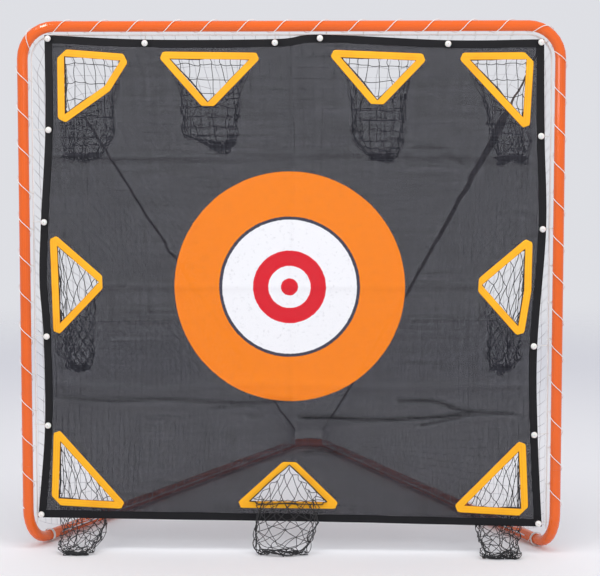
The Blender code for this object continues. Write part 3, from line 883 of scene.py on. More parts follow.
@dataclass(frozen=True)
class GoalFrame:
    """The tube frame's sizes, and its finishes on the frame's own solids.

    Sizes are to the tubes' middles, but mouth is the clear width, tube the tubes' radius, and
    shift how far goal coordinates are moved along Y. spring_seat and spring_fold, meant for a
    leaf spring's give behind its snap button, are not used.
    """

    mouth: float = 1.829
    tube: float = 0.019
    top_bend: float = 0.111
    foot_bend: float = 0.120
    base_depth: float = 2.23
    ground: float = 0.02393
    shift: float = 0.0
    spring_seat: float = 0.0015
    spring_fold: float = 0.62

    @property
    def post_x(self) -> float:
        """Half the distance between the posts' middles."""
        return self.mouth / 2 + self.tube

    @property
    def bar_z(self) -> float:
        """The height of the crossbar's middle."""
        return self.mouth + self.tube

    def hoop(self, end: float, inward: float = 0.0, depth: float = 0.0,
             steps: int = 14) -> np.ndarray:
        """The line of the hoop or of something inside it.

        Args:
            end: the height of its two ends.
            inward: how far inside the tube's middle it runs.
            depth: how far behind the tube's middle it runs.
            steps: steps in each corner.

        Returns:
            Points from the left foot over the top to the right foot.
        """
        side, top = self.post_x - inward, self.bar_z - inward
        corners = [(-side, depth, end), (-side, depth, top), (side, depth, top),
                   (side, depth, end)]
        return bent_line(corners, self.top_bend - inward, steps)

    def bar_point(self, side: int, run: float) -> np.ndarray:
        """A point on a ground bar's middle.

        Args:
            side: -1 for the left bar, 1 for the right.
            run: metres from the post's line.

        Returns:
            The point.
        """
        foot = np.array([side * self.post_x, 0, self.ground])
        corner = np.array([0, self.base_depth, self.ground])
        return foot + unit(corner - foot) * run

    def half_width(self, depth: float) -> float:
        """Half the distance between the ground bars' middles at a depth."""
        return self.post_x * (1 - depth / self.base_depth)

    def dress(self) -> None:
        """Give the frame's solids their finishes."""
        coat = PowderCoat().material()
        zinc = PlatedSteel("zinc_plate", (0.62, 0.63, 0.64)).material()
        spring = PlatedSteel("blued_spring_steel", (0.30, 0.31, 0.34), 0.25).material()
        for name, node in frame["nodes"].items():
            if name in ("top_hoop", "left_foot_bend", "right_foot_bend", "rear_bend"):
                node.data.materials[0] = coat
            elif name.endswith(("_sleeve", "_button")):
                node.data.materials[0] = zinc
            elif name.endswith("_spring"):
                node.data.materials[0] = spring
        for joint in frame["joints"]:
            self.flex_spring(joint)

    def flex_spring(self, joint: dict[str, Any]) -> None:
        """Put a copy of the leaf behind one snap button in place of its solid.

        Args:
            joint: the button's slide, whose axis points into the tube.
        """
        name = joint["child"].replace("_button_body", "_spring")
        leaf = bpy.data.objects.new(name + "_leaf", frame["nodes"][name].data.copy())
        bpy.context.scene.collection.objects.link(leaf)
        points = np.array([vertex.co for vertex in leaf.data.vertices])
        inward = np.array(joint["axis"])
        depth = points @ inward
        front = points[depth.argmin()]
        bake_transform(leaf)
        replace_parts(leaf, name)


@dataclass
class Lacing:
    """The cords that lash the net to the tubes, the net's edge rope, and its hitches.

    The cords' middles run orbit off the tubes' middles. A start or end is a height on the
    posts, or metres along a ground bar, and front_phase is the first turn's angle in degrees.
    """

    goal: GoalFrame
    cord: float = 0.0013
    orbit: float = 0.02272
    turn_steps: int = 20
    front_pitch: float = 0.128
    ground_pitch: float = 0.200
    close_pitch: float = 0.0045
    close_turns: int = 3
    front_start: float = 0.150
    ground_start: float = 0.130
    ground_end: float = 2.16
    front_phase: float = 60.0
    rope: float = 0.0025
    rope_inward: float = 0.030
    rope_depth: float = 0.014
    rope_end: float = 0.085
    hitch_cord: float = 0.0010
    hitch_half: float = 0.0040
    hitch_steps: int = 14
    hitch_places: int = 900

    def wound(self, path: np.ndarray, normal: np.ndarray, sections: Sequence[Point],
              phase: float) -> np.ndarray:
        """A cord wound left-handed round a line.

        Args:
            path: the line it is wound round.
            normal: what stands square to the line's plane.
            sections: turns and their pitch, one pair after another.
            phase: the starting angle in degrees.

        Returns:
            The cord's points.
        """
        run = np.concatenate([[0], np.cumsum(np.linalg.norm(np.diff(path, axis=0), axis=1))])
        places = [0.0]
        for turns, pitch in sections:
            count = round(turns * self.turn_steps)
            places += [places[-1] + pitch / self.turn_steps * (step + 1) for step in range(count)]
        at = np.clip(np.array(places), 0, run[-1] - 1e-6)
        middle = np.stack([np.interp(at, run, path[:, axis]) for axis in range(3)], -1)
        leg = np.clip(np.searchsorted(run, at, side="right") - 1, 0, len(path) - 2)
        along = np.diff(path, axis=0)[leg]
        along /= np.linalg.norm(along, axis=1, keepdims=True)
        angle = math.radians(phase) - np.arange(len(at)) * math.tau / self.turn_steps
        side = np.cross(normal, along)
        arm = side * np.cos(angle)[:, None] + normal * np.sin(angle)[:, None]
        return middle + arm * self.orbit

    def build(self) -> None:
        """Make the cords, and stand them in for their plain solids."""
        white = CordFinish("white_braided_cord", (0.90, 0.90, 0.88), (0.52, 0.50, 0.46)).material()
        goal = self.goal
        path = goal.hoop(self.front_start)
        turns = np.linalg.norm(np.diff(path, axis=0), axis=1).sum() / self.front_pitch
        self.cord_piece("front_lacing_cord", "front_lacing",
                        self.wound(path, np.array([0, -1.0, 0]), [(turns, self.front_pitch)],
                                   self.front_phase), self.cord, white)
        for word, side in (("left", -1), ("right", 1)):
            path = np.array([goal.bar_point(side, self.ground_start),
                             goal.bar_point(side, self.ground_end)])
            length = self.ground_end - self.ground_start
            turns = (length - self.close_turns * self.close_pitch) / self.ground_pitch
            sections = [(self.close_turns, self.close_pitch), (turns, self.ground_pitch)]
            self.cord_piece(word + "_ground_lacing_cord", word + "_ground_lacing",
                            self.wound(path, np.array([0, 0, 1.0]), sections, 0.0),
                            self.cord, white)
        rope = goal.hoop(self.rope_end, self.rope_inward, self.rope_depth, 20)
        self.cord_piece("net_rope", "net_edge_rope", even_steps(rope, 500), self.rope, white)
        self.hitches(white)

    def cord_piece(self, name: str, node: str, line: np.ndarray, radius: float,
                   finish: bpy.types.Material) -> None:
        """Make one cord in place of a solid.

        Args:
            name: the cord's name.
            node: the solid that it stands for.
            line: the cord's middle.
            radius: half its thickness.
            finish: its material.
        """
        mesher = Mesher()
        mesher.tubes(line[None], radius, 8)
        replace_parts(mesher.piece(name, self.goal.shift, finish), node)
        LOG.info("%s: %d points", name, len(line))

    def hitches(self, finish: bpy.types.Material) -> None:
        """Tie the edge rope to the lacing with a short loop each turn.

        Args:
            finish: the loops' material.
        """
        start = self.front_start + 0.03
        tube_line = even_steps(self.goal.hoop(start), self.hitch_places)
        rope_line = even_steps(self.goal.hoop(start, self.rope_inward, self.rope_depth),
                               self.hitch_places)
        length = np.linalg.norm(np.diff(tube_line, axis=0), axis=1).sum()
        count = int(length / self.front_pitch)
        loops = []
        angle = np.arange(self.hitch_steps) * math.tau / self.hitch_steps
        for number in range(count):
            index = int((number + 0.5) / count * (self.hitch_places - 1))
            middle, rope = tube_line[index], rope_line[index]
            out = unit(rope - middle)
            along = unit(tube_line[min(index + 1, self.hitch_places - 1)] - tube_line[index - 1])
            across = np.cross(out, along)
            near, far = self.orbit - 0.001, float(np.linalg.norm(rope - middle)) + 0.0042
            centre = middle + out * (near + far) / 2
            half = (far - near) / 2
            lean = along * 0.25 + across * 0.97
            loops.append(centre + out * np.cos(angle)[:, None] * half
                         + lean * np.sin(angle)[:, None] * self.hitch_half)
        mesher = Mesher()
        mesher.tubes(np.array(loops), self.hitch_cord, 6, True)
        mesher.piece("net_hitches", self.goal.shift, finish)


@dataclass(frozen=True)
class Crease:
    """A fold in the sheet: its line as (x, z) points, how far it stands, and its width."""

    line: tuple[Point, ...]
    height: float
    width: float
    # How dark the shade painted along the fold is
    mark: float = 0.0


@dataclass(frozen=True)
class Drape:
    """How far each place of the hung sheet lies behind the plane of the mouth."""

    creases: tuple[Crease, ...] = (
        Crease(((-0.88, 1.395), (-0.40, 1.388), (0.10, 1.402), (0.50, 1.398), (0.87, 1.380)),
               -0.0035, 0.014, 0.22),
        Crease(((-0.88, 0.945), (0.0, 0.938), (0.88, 0.948)), -0.0028, 0.012, 0.14),
        Crease(((0.0, 1.80), (0.015, 1.40), (0.0, 0.95), (0.01, 0.50)), -0.0020, 0.012, 0.07),
        Crease(((-0.84, 0.546), (-0.60, 0.536), (-0.44, 0.541), (-0.20, 0.532), (0.03, 0.541)),
               0.0050, 0.009, 0.50),
        Crease(((-0.30, 0.505), (-0.16, 0.520), (-0.12, 0.508)), 0.0040, 0.008, 0.35),
        Crease(((-0.17, 0.487), (-0.13, 0.478), (-0.09, 0.484)), 0.0035, 0.007, 0.5),
        Crease(((0.02, 0.478), (0.14, 0.478), (0.30, 0.471), (0.42, 0.476), (0.52, 0.483),
                (0.60, 0.492), (0.66, 0.490)), 0.0060, 0.0065, 1.0),
        Crease(((0.36, 0.538), (0.44, 0.540), (0.52, 0.536), (0.58, 0.512), (0.66, 0.500),
                (0.80, 0.497)), 0.0055, 0.006, 0.9),
        Crease(((0.44, 0.452), (0.53, 0.468), (0.62, 0.487)), 0.0045, 0.006, 0.75),
        Crease(((0.02, 0.352), (0.10, 0.362), (0.19, 0.350)), 0.0045, 0.008, 0.65),
        Crease(((-0.88, 0.60), (-0.50, 0.575), (-0.10, 0.600), (0.35, 0.585), (0.87, 0.60)),
               -0.0040, 0.020, 0.0),
        Crease(((0.50, 1.41), (0.56, 1.395), (0.60, 1.375), (0.62, 1.36)), 0.004, 0.009, 0.50),
        Crease(((0.40, 1.43), (0.52, 1.428), (0.56, 1.410)), 0.003, 0.009, 0.40),
    )

    def depth(self, x: np.ndarray, z: np.ndarray) -> np.ndarray:
        """How far behind the mouth's plane the sheet lies.

        Args:
            x: metres across.
            z: metres up.

        Returns:
            Metres towards the back.
        """
        x, z = np.asarray(x, float), np.asarray(z, float)
        lie = (0.0035 * np.sin(2.3 * x + 0.6) * np.sin(1.9 * z + 0.4)
               + 0.0020 * np.sin(6.1 * x - 2.3 * z + 1.0)
               + 0.0012 * np.sin(11.0 * z + 2.0 * x)
               + 0.0007 * np.sin(23.0 * x + 9.0 * z))
        spots = np.stack([x.ravel(), z.ravel()], -1)
        for crease in self.creases:
            lie = lie + (self.strength(crease, spots).reshape(x.shape) * crease.height)
        return lie

    def marks(self, x: np.ndarray, z: np.ndarray) -> np.ndarray:
        """How dark each place is with the shade of a fold.

        Args:
            x: metres across.
            z: metres up.

        Returns:
            From 0 to 1.
        """
        spots = np.stack([x.ravel(), z.ravel()], -1)
        dark = np.zeros(len(spots))
        for crease in self.creases:
            dark = np.maximum(dark, self.strength(crease, spots) ** 1.6 * crease.mark)
        return dark.reshape(x.shape)

    @staticmethod
    def strength(crease: Crease, spots: np.ndarray) -> np.ndarray:
        """How much of a crease reaches some places.

        Args:
            crease: the fold.
            spots: (x, z) points, one row each.

        Returns:
            1 on its line, and less beside it and at its ends.
        """
        line = smooth_curve(crease.line, 6)
        place, far = nearest_on(line, spots, False)
        ends = np.minimum(np.linalg.norm(place - line[0], axis=1),
                          np.linalg.norm(place - line[-1], axis=1))
        taper = np.clip(ends / (crease.width * 4), 0.15, 1)
        return np.exp(-(far / crease.width) ** 1.3) * taper


@dataclass
class TargetSheet:
    """The mesh sheet, its sewn border, and the tape round each opening."""

    goal: GoalFrame
    drape: Drape = Drape()
    top: tuple[Point, ...] = ((-0.842, 1.806), (-0.504, 1.790), (-0.052, 1.791),
                              (0.104, 1.806), (0.546, 1.786), (0.866, 1.791))
    right: tuple[Point, ...] = ((0.869, 1.469), (0.878, 1.147), (0.852, 0.738),
                                (0.857, 0.425))
    left: tuple[Point, ...] = ((-0.843, 1.490), (-0.862, 1.168), (-0.858, 0.765),
                               (-0.857, 0.448))
    bottom: tuple[Point, ...] = ((-0.885, 0.128), (0.875, 0.109))
    left_bulge: Point = (-0.870, 0.960)
    edge_inset: float = 0.012
    columns: int = 250
    rows: int = 240
    border_width: float = 0.026
    tape_width: float = 0.025
    tape_clip: float = 0.033
    blunt_clip: float = 0.0008
    sharp_corner: float = 110.0
    tape_gauge: float = 0.0011
    gap: float = 0.0004
    openings: dict[str, tuple[Point, ...]] = field(default_factory=lambda: {
        "top_left": ((-0.5475, 1.7515), (-0.8115, 1.772), (-0.8115, 1.497), (-0.628, 1.625)),
        "top_inner_left": ((-0.084, 1.757), (-0.475, 1.762), (-0.288, 1.549)),
        "top_inner_right": ((0.492, 1.752), (0.119, 1.768), (0.302, 1.555)),
        "top_right": ((0.843, 1.758), (0.565, 1.756), (0.829, 1.474)),
        "middle_left": ((-0.637, 0.958), (-0.845, 1.141), (-0.8355, 0.750)),
        "middle_right": ((0.845, 1.133), (0.6346, 0.953), (0.814, 0.751), (0.842, 0.930)),
        "bottom_left": ((-0.568, 0.147), (-0.838, 0.452), (-0.851, 0.160)),
        "bottom_centre": ((-0.002, 0.343), (-0.208, 0.155), (0.192, 0.153)),
        "bottom_right": ((0.827, 0.423), (0.559, 0.147), (0.841, 0.133)),
    })

    def clear_edge(self, name: str) -> np.ndarray:
        """The clear edge of an opening, inside its tape."""
        return inset(np.array(self.openings[name]), self.tape_width)

    def edges(self, steps: int = 24) -> tuple[np.ndarray, ...]:
        """The sheet's four edges.

        Args:
            steps: how many steps each stretch between two fasteners takes.

        Returns:
            The bottom and the top from left to right, the left and the right going up.
        """
        reach = self.edge_inset

        def moved(point: Point, x: float, z: float) -> Point:
            """A fastener's place moved out to the edge."""
            return (point[0] + x * reach, point[1] + z * reach)

        top_left, top_right = moved(self.top[0], -1, 1), moved(self.top[-1], 0.8, 0.8)
        bottom_left = moved(self.bottom[0], -1, -1)
        bottom_right = moved(self.bottom[1], 1, -1)
        left = [moved(point, -1, 0) for point in self.left]
        left.insert(2, moved(self.left_bulge, -1, 0))
        top_line = [top_left, *(moved(point, 0, 1) for point in self.top[1:-1]), top_right]
        right_line = [bottom_right, *(moved(point, 1, 0) for point in reversed(self.right)),
                      top_right]
        left_line = [bottom_left, *reversed(left), top_left]
        middle = ((bottom_left[0] + bottom_right[0]) / 2,
                  (bottom_left[1] + bottom_right[1]) / 2 + 0.002)
        return (smooth_curve([bottom_left, middle, bottom_right], steps * 2),
                smooth_curve(top_line, steps), smooth_curve(left_line, steps),
                smooth_curve(right_line, steps))

    def build(self) -> None:
        """Make the sheet and everything sewn to it."""
        sheet = self.cloth()
        border = self.border()
        tapes = [self.tape(name) for name in self.openings]
        stitches = self.stitching()

    def cloth(self) -> bpy.types.Object:
        """Make the mesh cloth, as a grid that fits its four edges and leaves the openings.

        Returns:
            The cloth.
        """
        bottom, top, left, right = (even_steps(edge, count + 1) for edge, count in zip(
            self.edges(), (self.columns, self.columns, self.rows, self.rows)))
        u = np.linspace(0, 1, self.columns + 1)[None, :, None]
        v = np.linspace(0, 1, self.rows + 1)[:, None, None]
        flat = ((1 - v) * bottom[None] + v * top[None] + (1 - u) * left[:, None]
                + u * right[:, None]
                - ((1 - u) * (1 - v) * bottom[0] + u * (1 - v) * bottom[-1]
                   + (1 - u) * v * top[0] + u * v * top[-1]))
        points = flat.reshape(-1, 2)
        number = np.arange(len(points)).reshape(self.rows + 1, self.columns + 1)
        quads = np.stack([number[:-1, :-1], number[:-1, 1:], number[1:, 1:], number[1:, :-1]],
                         -1).reshape(-1, 4)
        middle = points[quads].mean(1)
        for name in self.openings:
            edge = self.clear_edge(name)
            hole = within(edge, middle[:, 0], middle[:, 1])
            touched = np.unique(quads[hole])
            kept = np.unique(quads[~hole])
            rim = np.intersect1d(touched, kept)
            points[rim] = nearest_on(edge, points[rim], True)[0]
            quads, middle = quads[~hole], middle[~hole]
        y = self.drape.depth(points[:, 0], points[:, 1])
        mesher = Mesher()
        mesher.add(np.stack([points[:, 0], y, points[:, 1]], -1), quads, points[quads])
        sheet = mesher.piece("target_cloth", self.goal.shift, MeshCloth().material())
        # The painted fold shade, kept on the cloth's points for its material
        mark = sheet.data.attributes.new("crease", "FLOAT", "POINT")
        mark.data.foreach_set("value", self.drape.marks(points[:, 0], points[:, 1]))
        self.prune(sheet)
        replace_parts(sheet, "target_sheet")
        LOG.info("target cloth: %d faces", len(quads))
        return sheet

    @staticmethod
    def prune(sheet: bpy.types.Object) -> None:
        """Remove the points that the openings left without a face.

        Args:
            sheet: the cloth.
        """
        work = bmesh.new()
        work.from_mesh(sheet.data)
        loose = [vert for vert in work.verts if not vert.link_faces]
        bmesh.ops.delete(work, geom=loose, context="VERTS")
        work.to_mesh(sheet.data)
        work.free()

    def outline(self) -> np.ndarray:
        """The sheet's whole edge.

        Returns:
            Its points, anticlockwise, in short even steps.
        """
        bottom, top, left, right = self.edges()
        parts = [even_steps(part, 150)[:-1] for part in (bottom, right, top[::-1], left[::-1])]
        return np.vstack(parts)

    def on_cloth(self, flat: np.ndarray, lift: np.ndarray | float) -> np.ndarray:
        """Stand flat (x, z) points on the sheet's front, lifted towards the front."""
        y = self.drape.depth(flat[..., 0], flat[..., 1]) - lift
        return np.stack([flat[..., 0], y, flat[..., 1]], -1)

    def border(self) -> bpy.types.Object:
        """Make the tape that is folded over the sheet's edge and sewn down on both faces.

        Returns:
            The tape.
        """
        width, gauge, gap = self.border_width, self.tape_gauge, self.gap
        # The folded tape's section as (inward of the edge, towards the front)
        section = [(width, gap), (width - 0.0006, gap + gauge), (width * 0.66, gap + gauge * 1.15),
                   (width * 0.33, gap + gauge * 1.05), (0.001, gap + gauge), (-gauge * 0.8, gap),
                   (-gauge, 0.0), (-gauge * 0.8, -gap), (0.001, -gap - gauge),
                   (width * 0.5, -gap - gauge * 1.1), (width - 0.0006, -gap - gauge),
                   (width, -gap), (width * 0.5, -gap * 0.5), (0.0015, 0.0),
                   (width * 0.5, gap * 0.5)]
        edge = self.outline()
        rings = []
        run = np.concatenate([[0], np.cumsum(np.linalg.norm(np.diff(
            np.vstack([edge, edge[:1]]), axis=0), axis=1))])
        pucker = 0.0004 * np.sin(run[:-1] * 190) + 0.0003 * np.sin(run[:-1] * 77 + 1)
        for inward, front in section:
            flat = inset(edge, inward)
            lift = front + (pucker if front > 0 else -pucker) * min(1, abs(inward) * 60)
            rings.append(self.on_cloth(flat, lift))
        mesher = Mesher()
        self.loft(mesher, np.array(rings), run, np.array([point[0] for point in section]))
        made = mesher.piece("border_tape", self.goal.shift, Webbing(
            "black_border_tape", (0.013, 0.013, 0.015), (0.004, 0.004, 0.005),
            width).material())
        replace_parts(made, "border_webbing")
        return made

    @staticmethod
    def loft(mesher: Mesher, rings: np.ndarray, run: np.ndarray, across: np.ndarray) -> None:
        """Faces of a closed section that is carried round a closed line.

        Args:
            mesher: takes the faces.
            rings: for each corner of the section, its points round the line.
            run: metres along the line, with the whole length last.
            across: metres across the tape at each corner of the section.
        """
        lines, steps, _ = rings.shape
        number = np.arange(lines * steps).reshape(lines, steps)
        here, there = number, np.roll(number, -1, 0)
        quads = np.stack([here, there, np.roll(there, -1, 1), np.roll(here, -1, 1)], -1)
        maps = np.zeros((*quads.shape, 2))
        maps[..., 0, 0] = maps[..., 1, 0] = run[None, :-1]
        maps[..., 2, 0] = maps[..., 3, 0] = run[None, 1:]
        maps[..., 0, 1] = maps[..., 3, 1] = across[:, None]
        maps[..., 1, 1] = maps[..., 2, 1] = np.roll(across, -1)[:, None]
        mesher.add(rings, quads.reshape(-1, 4), maps)

    def tape_sides(self, name: str) -> list[tuple[np.ndarray, np.ndarray]]:
        """The strips of tape round an opening, mitred at their corners.

        Args:
            name: the opening.

        Returns:
            For each strip, its inner and its outer edge from end to end.
        """
        corners = np.array(self.openings[name])
        inner = self.clear_edge(name)
        count = len(corners)
        clips = []
        for index, here in enumerate(corners):
            back, on = unit(corners[index - 1] - here), unit(corners[(index + 1) % count] - here)
            sharp = math.degrees(math.acos(float(back @ on))) <= self.sharp_corner
            cut = self.tape_clip if sharp else self.blunt_clip
            clips.append((here + back * cut, here + on * cut))
        sides = []
        for index in range(count):
            after = (index + 1) % count
            start, end = clips[index], clips[after]
            outer = np.array([(start[0] + start[1]) / 2, start[1], end[0], (end[0] + end[1]) / 2])
            sides.append((inner[[index, after]], outer))
        return sides

    def tape(self, name: str) -> bpy.types.Object:
        """Make the yellow tape round one opening.

        Args:
            name: the opening.

        Returns:
            The tape.
        """
        mesher = Mesher()
        gauge, gap = self.tape_gauge, self.gap
        for number, (inner, outer) in enumerate(self.tape_sides(name)):
            along = unit(inner[1] - inner[0])
            square = np.array([along[1], -along[0]])
            span = float(np.linalg.norm(inner[1] - inner[0]))
            steps = max(6, int(span / 0.008))
            near = even_steps(inner, steps + 1)
            far = even_steps(outer, steps + 1)
            shares = np.array([0.0, 0.03, 0.12, 0.5, 0.88, 0.97, 1.0])
            rise = np.array([0.0, 0.8, 1.0, 1.08, 1.0, 0.8, 0.0]) * gauge
            flat = near[None] + (far - near)[None] * shares[:, None, None]
            lift = gap + rise[:, None] + 0.00025 * (number % 2)
            front = self.on_cloth(flat, np.broadcast_to(lift, flat.shape[:2]))
            back = self.on_cloth(flat[1:-1][::-1], gap * 0.5)
            rings = np.vstack([front, back])
            plan = rings[..., [0, 2]] - inner[0]
            maps_along = plan @ along
            maps_across = plan @ square
            lines = len(rings)
            index = np.arange(lines * (steps + 1)).reshape(lines, steps + 1)
            here, there = index, np.roll(index, -1, 0)
            quads = np.stack([here[:, :-1], here[:, 1:], there[:, 1:], there[:, :-1]],
                             -1).reshape(-1, 4)
            flat_maps = np.stack([maps_along.ravel(), maps_across.ravel()], -1)
            mesher.add(rings, quads, flat_maps[quads])
            for end in (index[:, 0], index[::-1, -1]):
                mesher.cap(end[None], flat_maps[end])
        made = mesher.piece(name + "_tape", self.goal.shift, self.tape_finish())
        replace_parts(made, name + "_trim")
        return made

    def tape_finish(self) -> bpy.types.Material:
        """The yellow tape's finish, made once."""
        known = bpy.data.materials.get("golden_tape")
        return known or Webbing("golden_tape", (1.00, 0.53, 0.012), (0.80, 0.25, 0.006),
                                self.tape_width, shine=0.3).material()

    def stitching(self) -> bpy.types.Object:
        """Make the two rows of stitches along every strip of yellow tape.

        Returns:
            The stitches, as one piece.
        """
        stitch, gap, thread_radius, rows = 0.0036, 0.0016, 0.00035, (0.12, 0.86)
        lines = []
        for name in self.openings:
            for inner, outer in self.tape_sides(name):
                for row in rows:
                    start = inner[0] + (outer[0] - inner[0]) * row
                    end = inner[1] + (outer[-1] - inner[1]) * row
                    lines.append((np.array([start, end]), self.tape_gauge + self.gap + 0.0002))
        paths = []
        for line, lift in lines:
            length = float(np.linalg.norm(line[1] - line[0]))
            count = int(length / (stitch + gap))
            along = unit(line[1] - line[0])
            starts = line[0] + along * (np.arange(count) * (stitch + gap) + gap)[:, None]
            share = np.array([0.0, 0.2, 0.5, 0.8, 1.0])
            flat = starts[:, None] + along * (share * stitch)[None, :, None]
            arch = lift + np.array([-0.0004, 0.0, 0.0001, 0.0, -0.0004])
            paths.append(self.on_cloth(flat, np.broadcast_to(arch, flat.shape[:2])))
        mesher = Mesher()
        mesher.tubes(np.vstack(paths), thread_radius, 5)
        thread = CordFinish("amber_thread", (0.78, 0.30, 0.020), (0.45, 0.14, 0.010),
                            0.0012, 0.00004).material()
        made = mesher.piece("tape_stitching", self.goal.shift, thread)
        LOG.info("stitching: %d stitches", sum(len(part) for part in paths))
        return made


class BagLie(Enum):
    """How a pocket bag lies."""

    HANGING = "hanging"
    GROUND = "ground"
    FRONT = "front"


class NetPattern(Enum):
    """How a net's cells hang."""

    SQUARE = "square"
    DIAMOND = "diamond"


@dataclass(frozen=True)
class BagShape:
    """One bag's own shape.

    Its middle and its end are metres across, belly and end_half are half widths, bottom is
    the end's height, edge_side is where its thick edge shows, in degrees round the opening,
    and tip is how far the end's corners lift.
    """

    lie: BagLie
    pattern: NetPattern
    middle_x: float
    belly: float
    end_x: float
    end_half: float
    bottom: float
    edge_side: float
    tip: float = 0.0


@dataclass
class PocketBag:
    """A knotted net bag sewn round one opening of the sheet."""

    name: str
    shape: BagShape
    sheet: TargetSheet
    seed: int
    cell: float = 0.038
    cord: float = 0.0012
    knot: float = 0.0025
    reach: float = 0.105
    edge_points: int = 96
    bunch_loops: int = 5

    @property
    def around(self) -> int:
        """How many cells the net has round the bag."""
        return 14 if self.shape.pattern is NetPattern.DIAMOND else 20

    def rings(self) -> list[np.ndarray]:
        """The bag's rings from its mouth to its end.

        Returns:
            For each ring, its points round the bag.
        """
        shape, front = self.shape, self.shape.lie is BagLie.FRONT
        edge = self.sheet.clear_edge(self.name)
        outline = even_steps(inset(edge, 0.004 if front else -0.003), self.around, True)
        middle = outline.mean(0)
        angle = np.arctan2(outline[:, 1] - middle[1], outline[:, 0] - middle[0])
        sheet_y = self.sheet.drape.depth(outline[:, 0], outline[:, 1])
        mouth = np.stack([outline[:, 0], sheet_y + 0.003, outline[:, 1]], -1)
        upper = np.maximum(0, np.sin(angle))

        def oval(x: float, y: float, z: float, wide: float, deep: float,
                 lean: float = 0.0) -> np.ndarray:
            """One oval ring, whose back edge is raised by lean."""
            turn = -angle if front else angle
            return np.stack([x + wide * np.cos(turn), y + deep * np.sin(turn),
                             z + lean * np.sin(turn)], -1)

        wide, end, end_x = shape.belly, shape.end_half, shape.end_x
        low_x = (shape.middle_x + end_x) / 2
        if front:
            throat = mouth.copy()
            throat[:, 0] += (middle[0] - throat[:, 0]) * 0.12
            throat[:, 2] += (middle[1] - throat[:, 2]) * 0.12
            throat[:, 1] = -0.016
            return [mouth, throat, oval(shape.middle_x, -0.036, 0.118, wide, 0.022, -0.020),
                    oval(low_x, -0.050, 0.070, wide * 0.95, 0.026),
                    oval(end_x, -0.058, 0.028, (wide + end) / 2, 0.030),
                    oval(end_x, -0.062, 0.010, end, 0.028)]
        shoulder = mouth + np.stack([np.zeros_like(upper), 0.010 + 0.035 * upper,
                                     np.full_like(upper, -0.004)], -1)
        if shape.lie is BagLie.GROUND:
            return [mouth, shoulder, oval(shape.middle_x, 0.044, 0.090, wide, 0.030),
                    oval(low_x, 0.016, 0.044, wide * 0.95, 0.020, -0.028),
                    oval(low_x, -0.040, 0.038, wide * 0.85, 0.010, -0.030),
                    oval(end_x, -0.080, 0.020, (wide + end) / 2, 0.008, -0.012),
                    oval(end_x, -self.reach + 0.010, 0.009, end, 0.006, -0.003)]
        lip = float(mouth[:, 2].min()) - 0.012
        last = oval(end_x, 0.036, shape.bottom + 0.004, end, 0.014)
        last[:, 2] += shape.tip * np.abs(np.cos(angle))
        low = oval(low_x, 0.038, shape.bottom + 0.038, (wide + end) / 2, 0.022)
        low[:, 2] += shape.tip * 0.5 * np.abs(np.cos(angle))
        return [mouth, shoulder,
                oval(0.3 * middle[0] + 0.7 * shape.middle_x, 0.046, lip, wide, 0.034),
                oval(shape.middle_x, 0.040, shape.bottom + 0.080, wide * 0.94, 0.028), low, last]

    def build(self, finish: bpy.types.Material) -> None:
        """Make the net, its drawn edge and its bunched end.

        Args:
            finish: the twine's material.
        """
        rng = np.random.default_rng(self.seed)
        rings = np.array(self.rings())
        surface = smooth_curve(rings.reshape(len(rings), -1), 10).reshape(-1, self.around, 3)
        run = np.linalg.norm(np.diff(surface, axis=0), axis=2).mean(1)
        length = float(run.sum())
        diamond = self.shape.pattern is NetPattern.DIAMOND
        rows = max(6, round(length * (1.45 if diamond else 1.15) / self.cell))
        at = np.concatenate([[0], np.cumsum(run)])
        # Rows crowd towards the end, where the slack net heaps up
        places = length * (1 - (1 - np.linspace(0, 1, rows + 1)) ** 1.22)
        grid = np.empty((rows + 1, self.around, 3))
        for axis in range(3):
            for column in range(self.around):
                grid[:, column, axis] = np.interp(places, at, surface[:, column, axis])
        if diamond:
            grid[1::2] = (grid[1::2] + np.roll(grid[1::2], -1, 1)) / 2
        share = np.linspace(0, 1, rows + 1)[:, None, None]
        jitter = rng.normal(0, 1, grid.shape) * np.array([0.0050, 0.0028, 0.0042])
        grid = self.kept_clear(grid + jitter * (0.3 + share * 1.2) * np.minimum(1, share * 8))
        mesher = Mesher()
        self.net(mesher, grid, rng)
        self.thick_edge(mesher, rng)
        self.end_bunch(mesher, grid, rng)
        made = mesher.piece(self.name + "_net_bag", self.sheet.goal.shift, finish)
        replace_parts(made, self.name + "_pocket")
        LOG.info("%s bag: %d rows of %d", self.name, rows, self.around)

    def kept_clear(self, grid: np.ndarray) -> np.ndarray:
        """Hold the net's points off the sheet and off the ground.

        Args:
            grid: knots by row, by place round the bag.

        Returns:
            The moved knots.
        """
        grid = grid.copy()
        if self.shape.lie is BagLie.HANGING:
            sheet_y = self.sheet.drape.depth(grid[1:, :, 0], grid[1:, :, 2])
            grid[1:, :, 1] = np.maximum(grid[1:, :, 1], sheet_y + 0.004)
        if self.shape.lie is BagLie.GROUND:
            high = grid[1:, :, 2] > 0.125
            grid[1:, :, 1] = np.where(high, np.maximum(grid[1:, :, 1], 0.006), grid[1:, :, 1])
        grid[..., 2] = np.maximum(grid[..., 2], self.knot + 0.0002)
        return grid

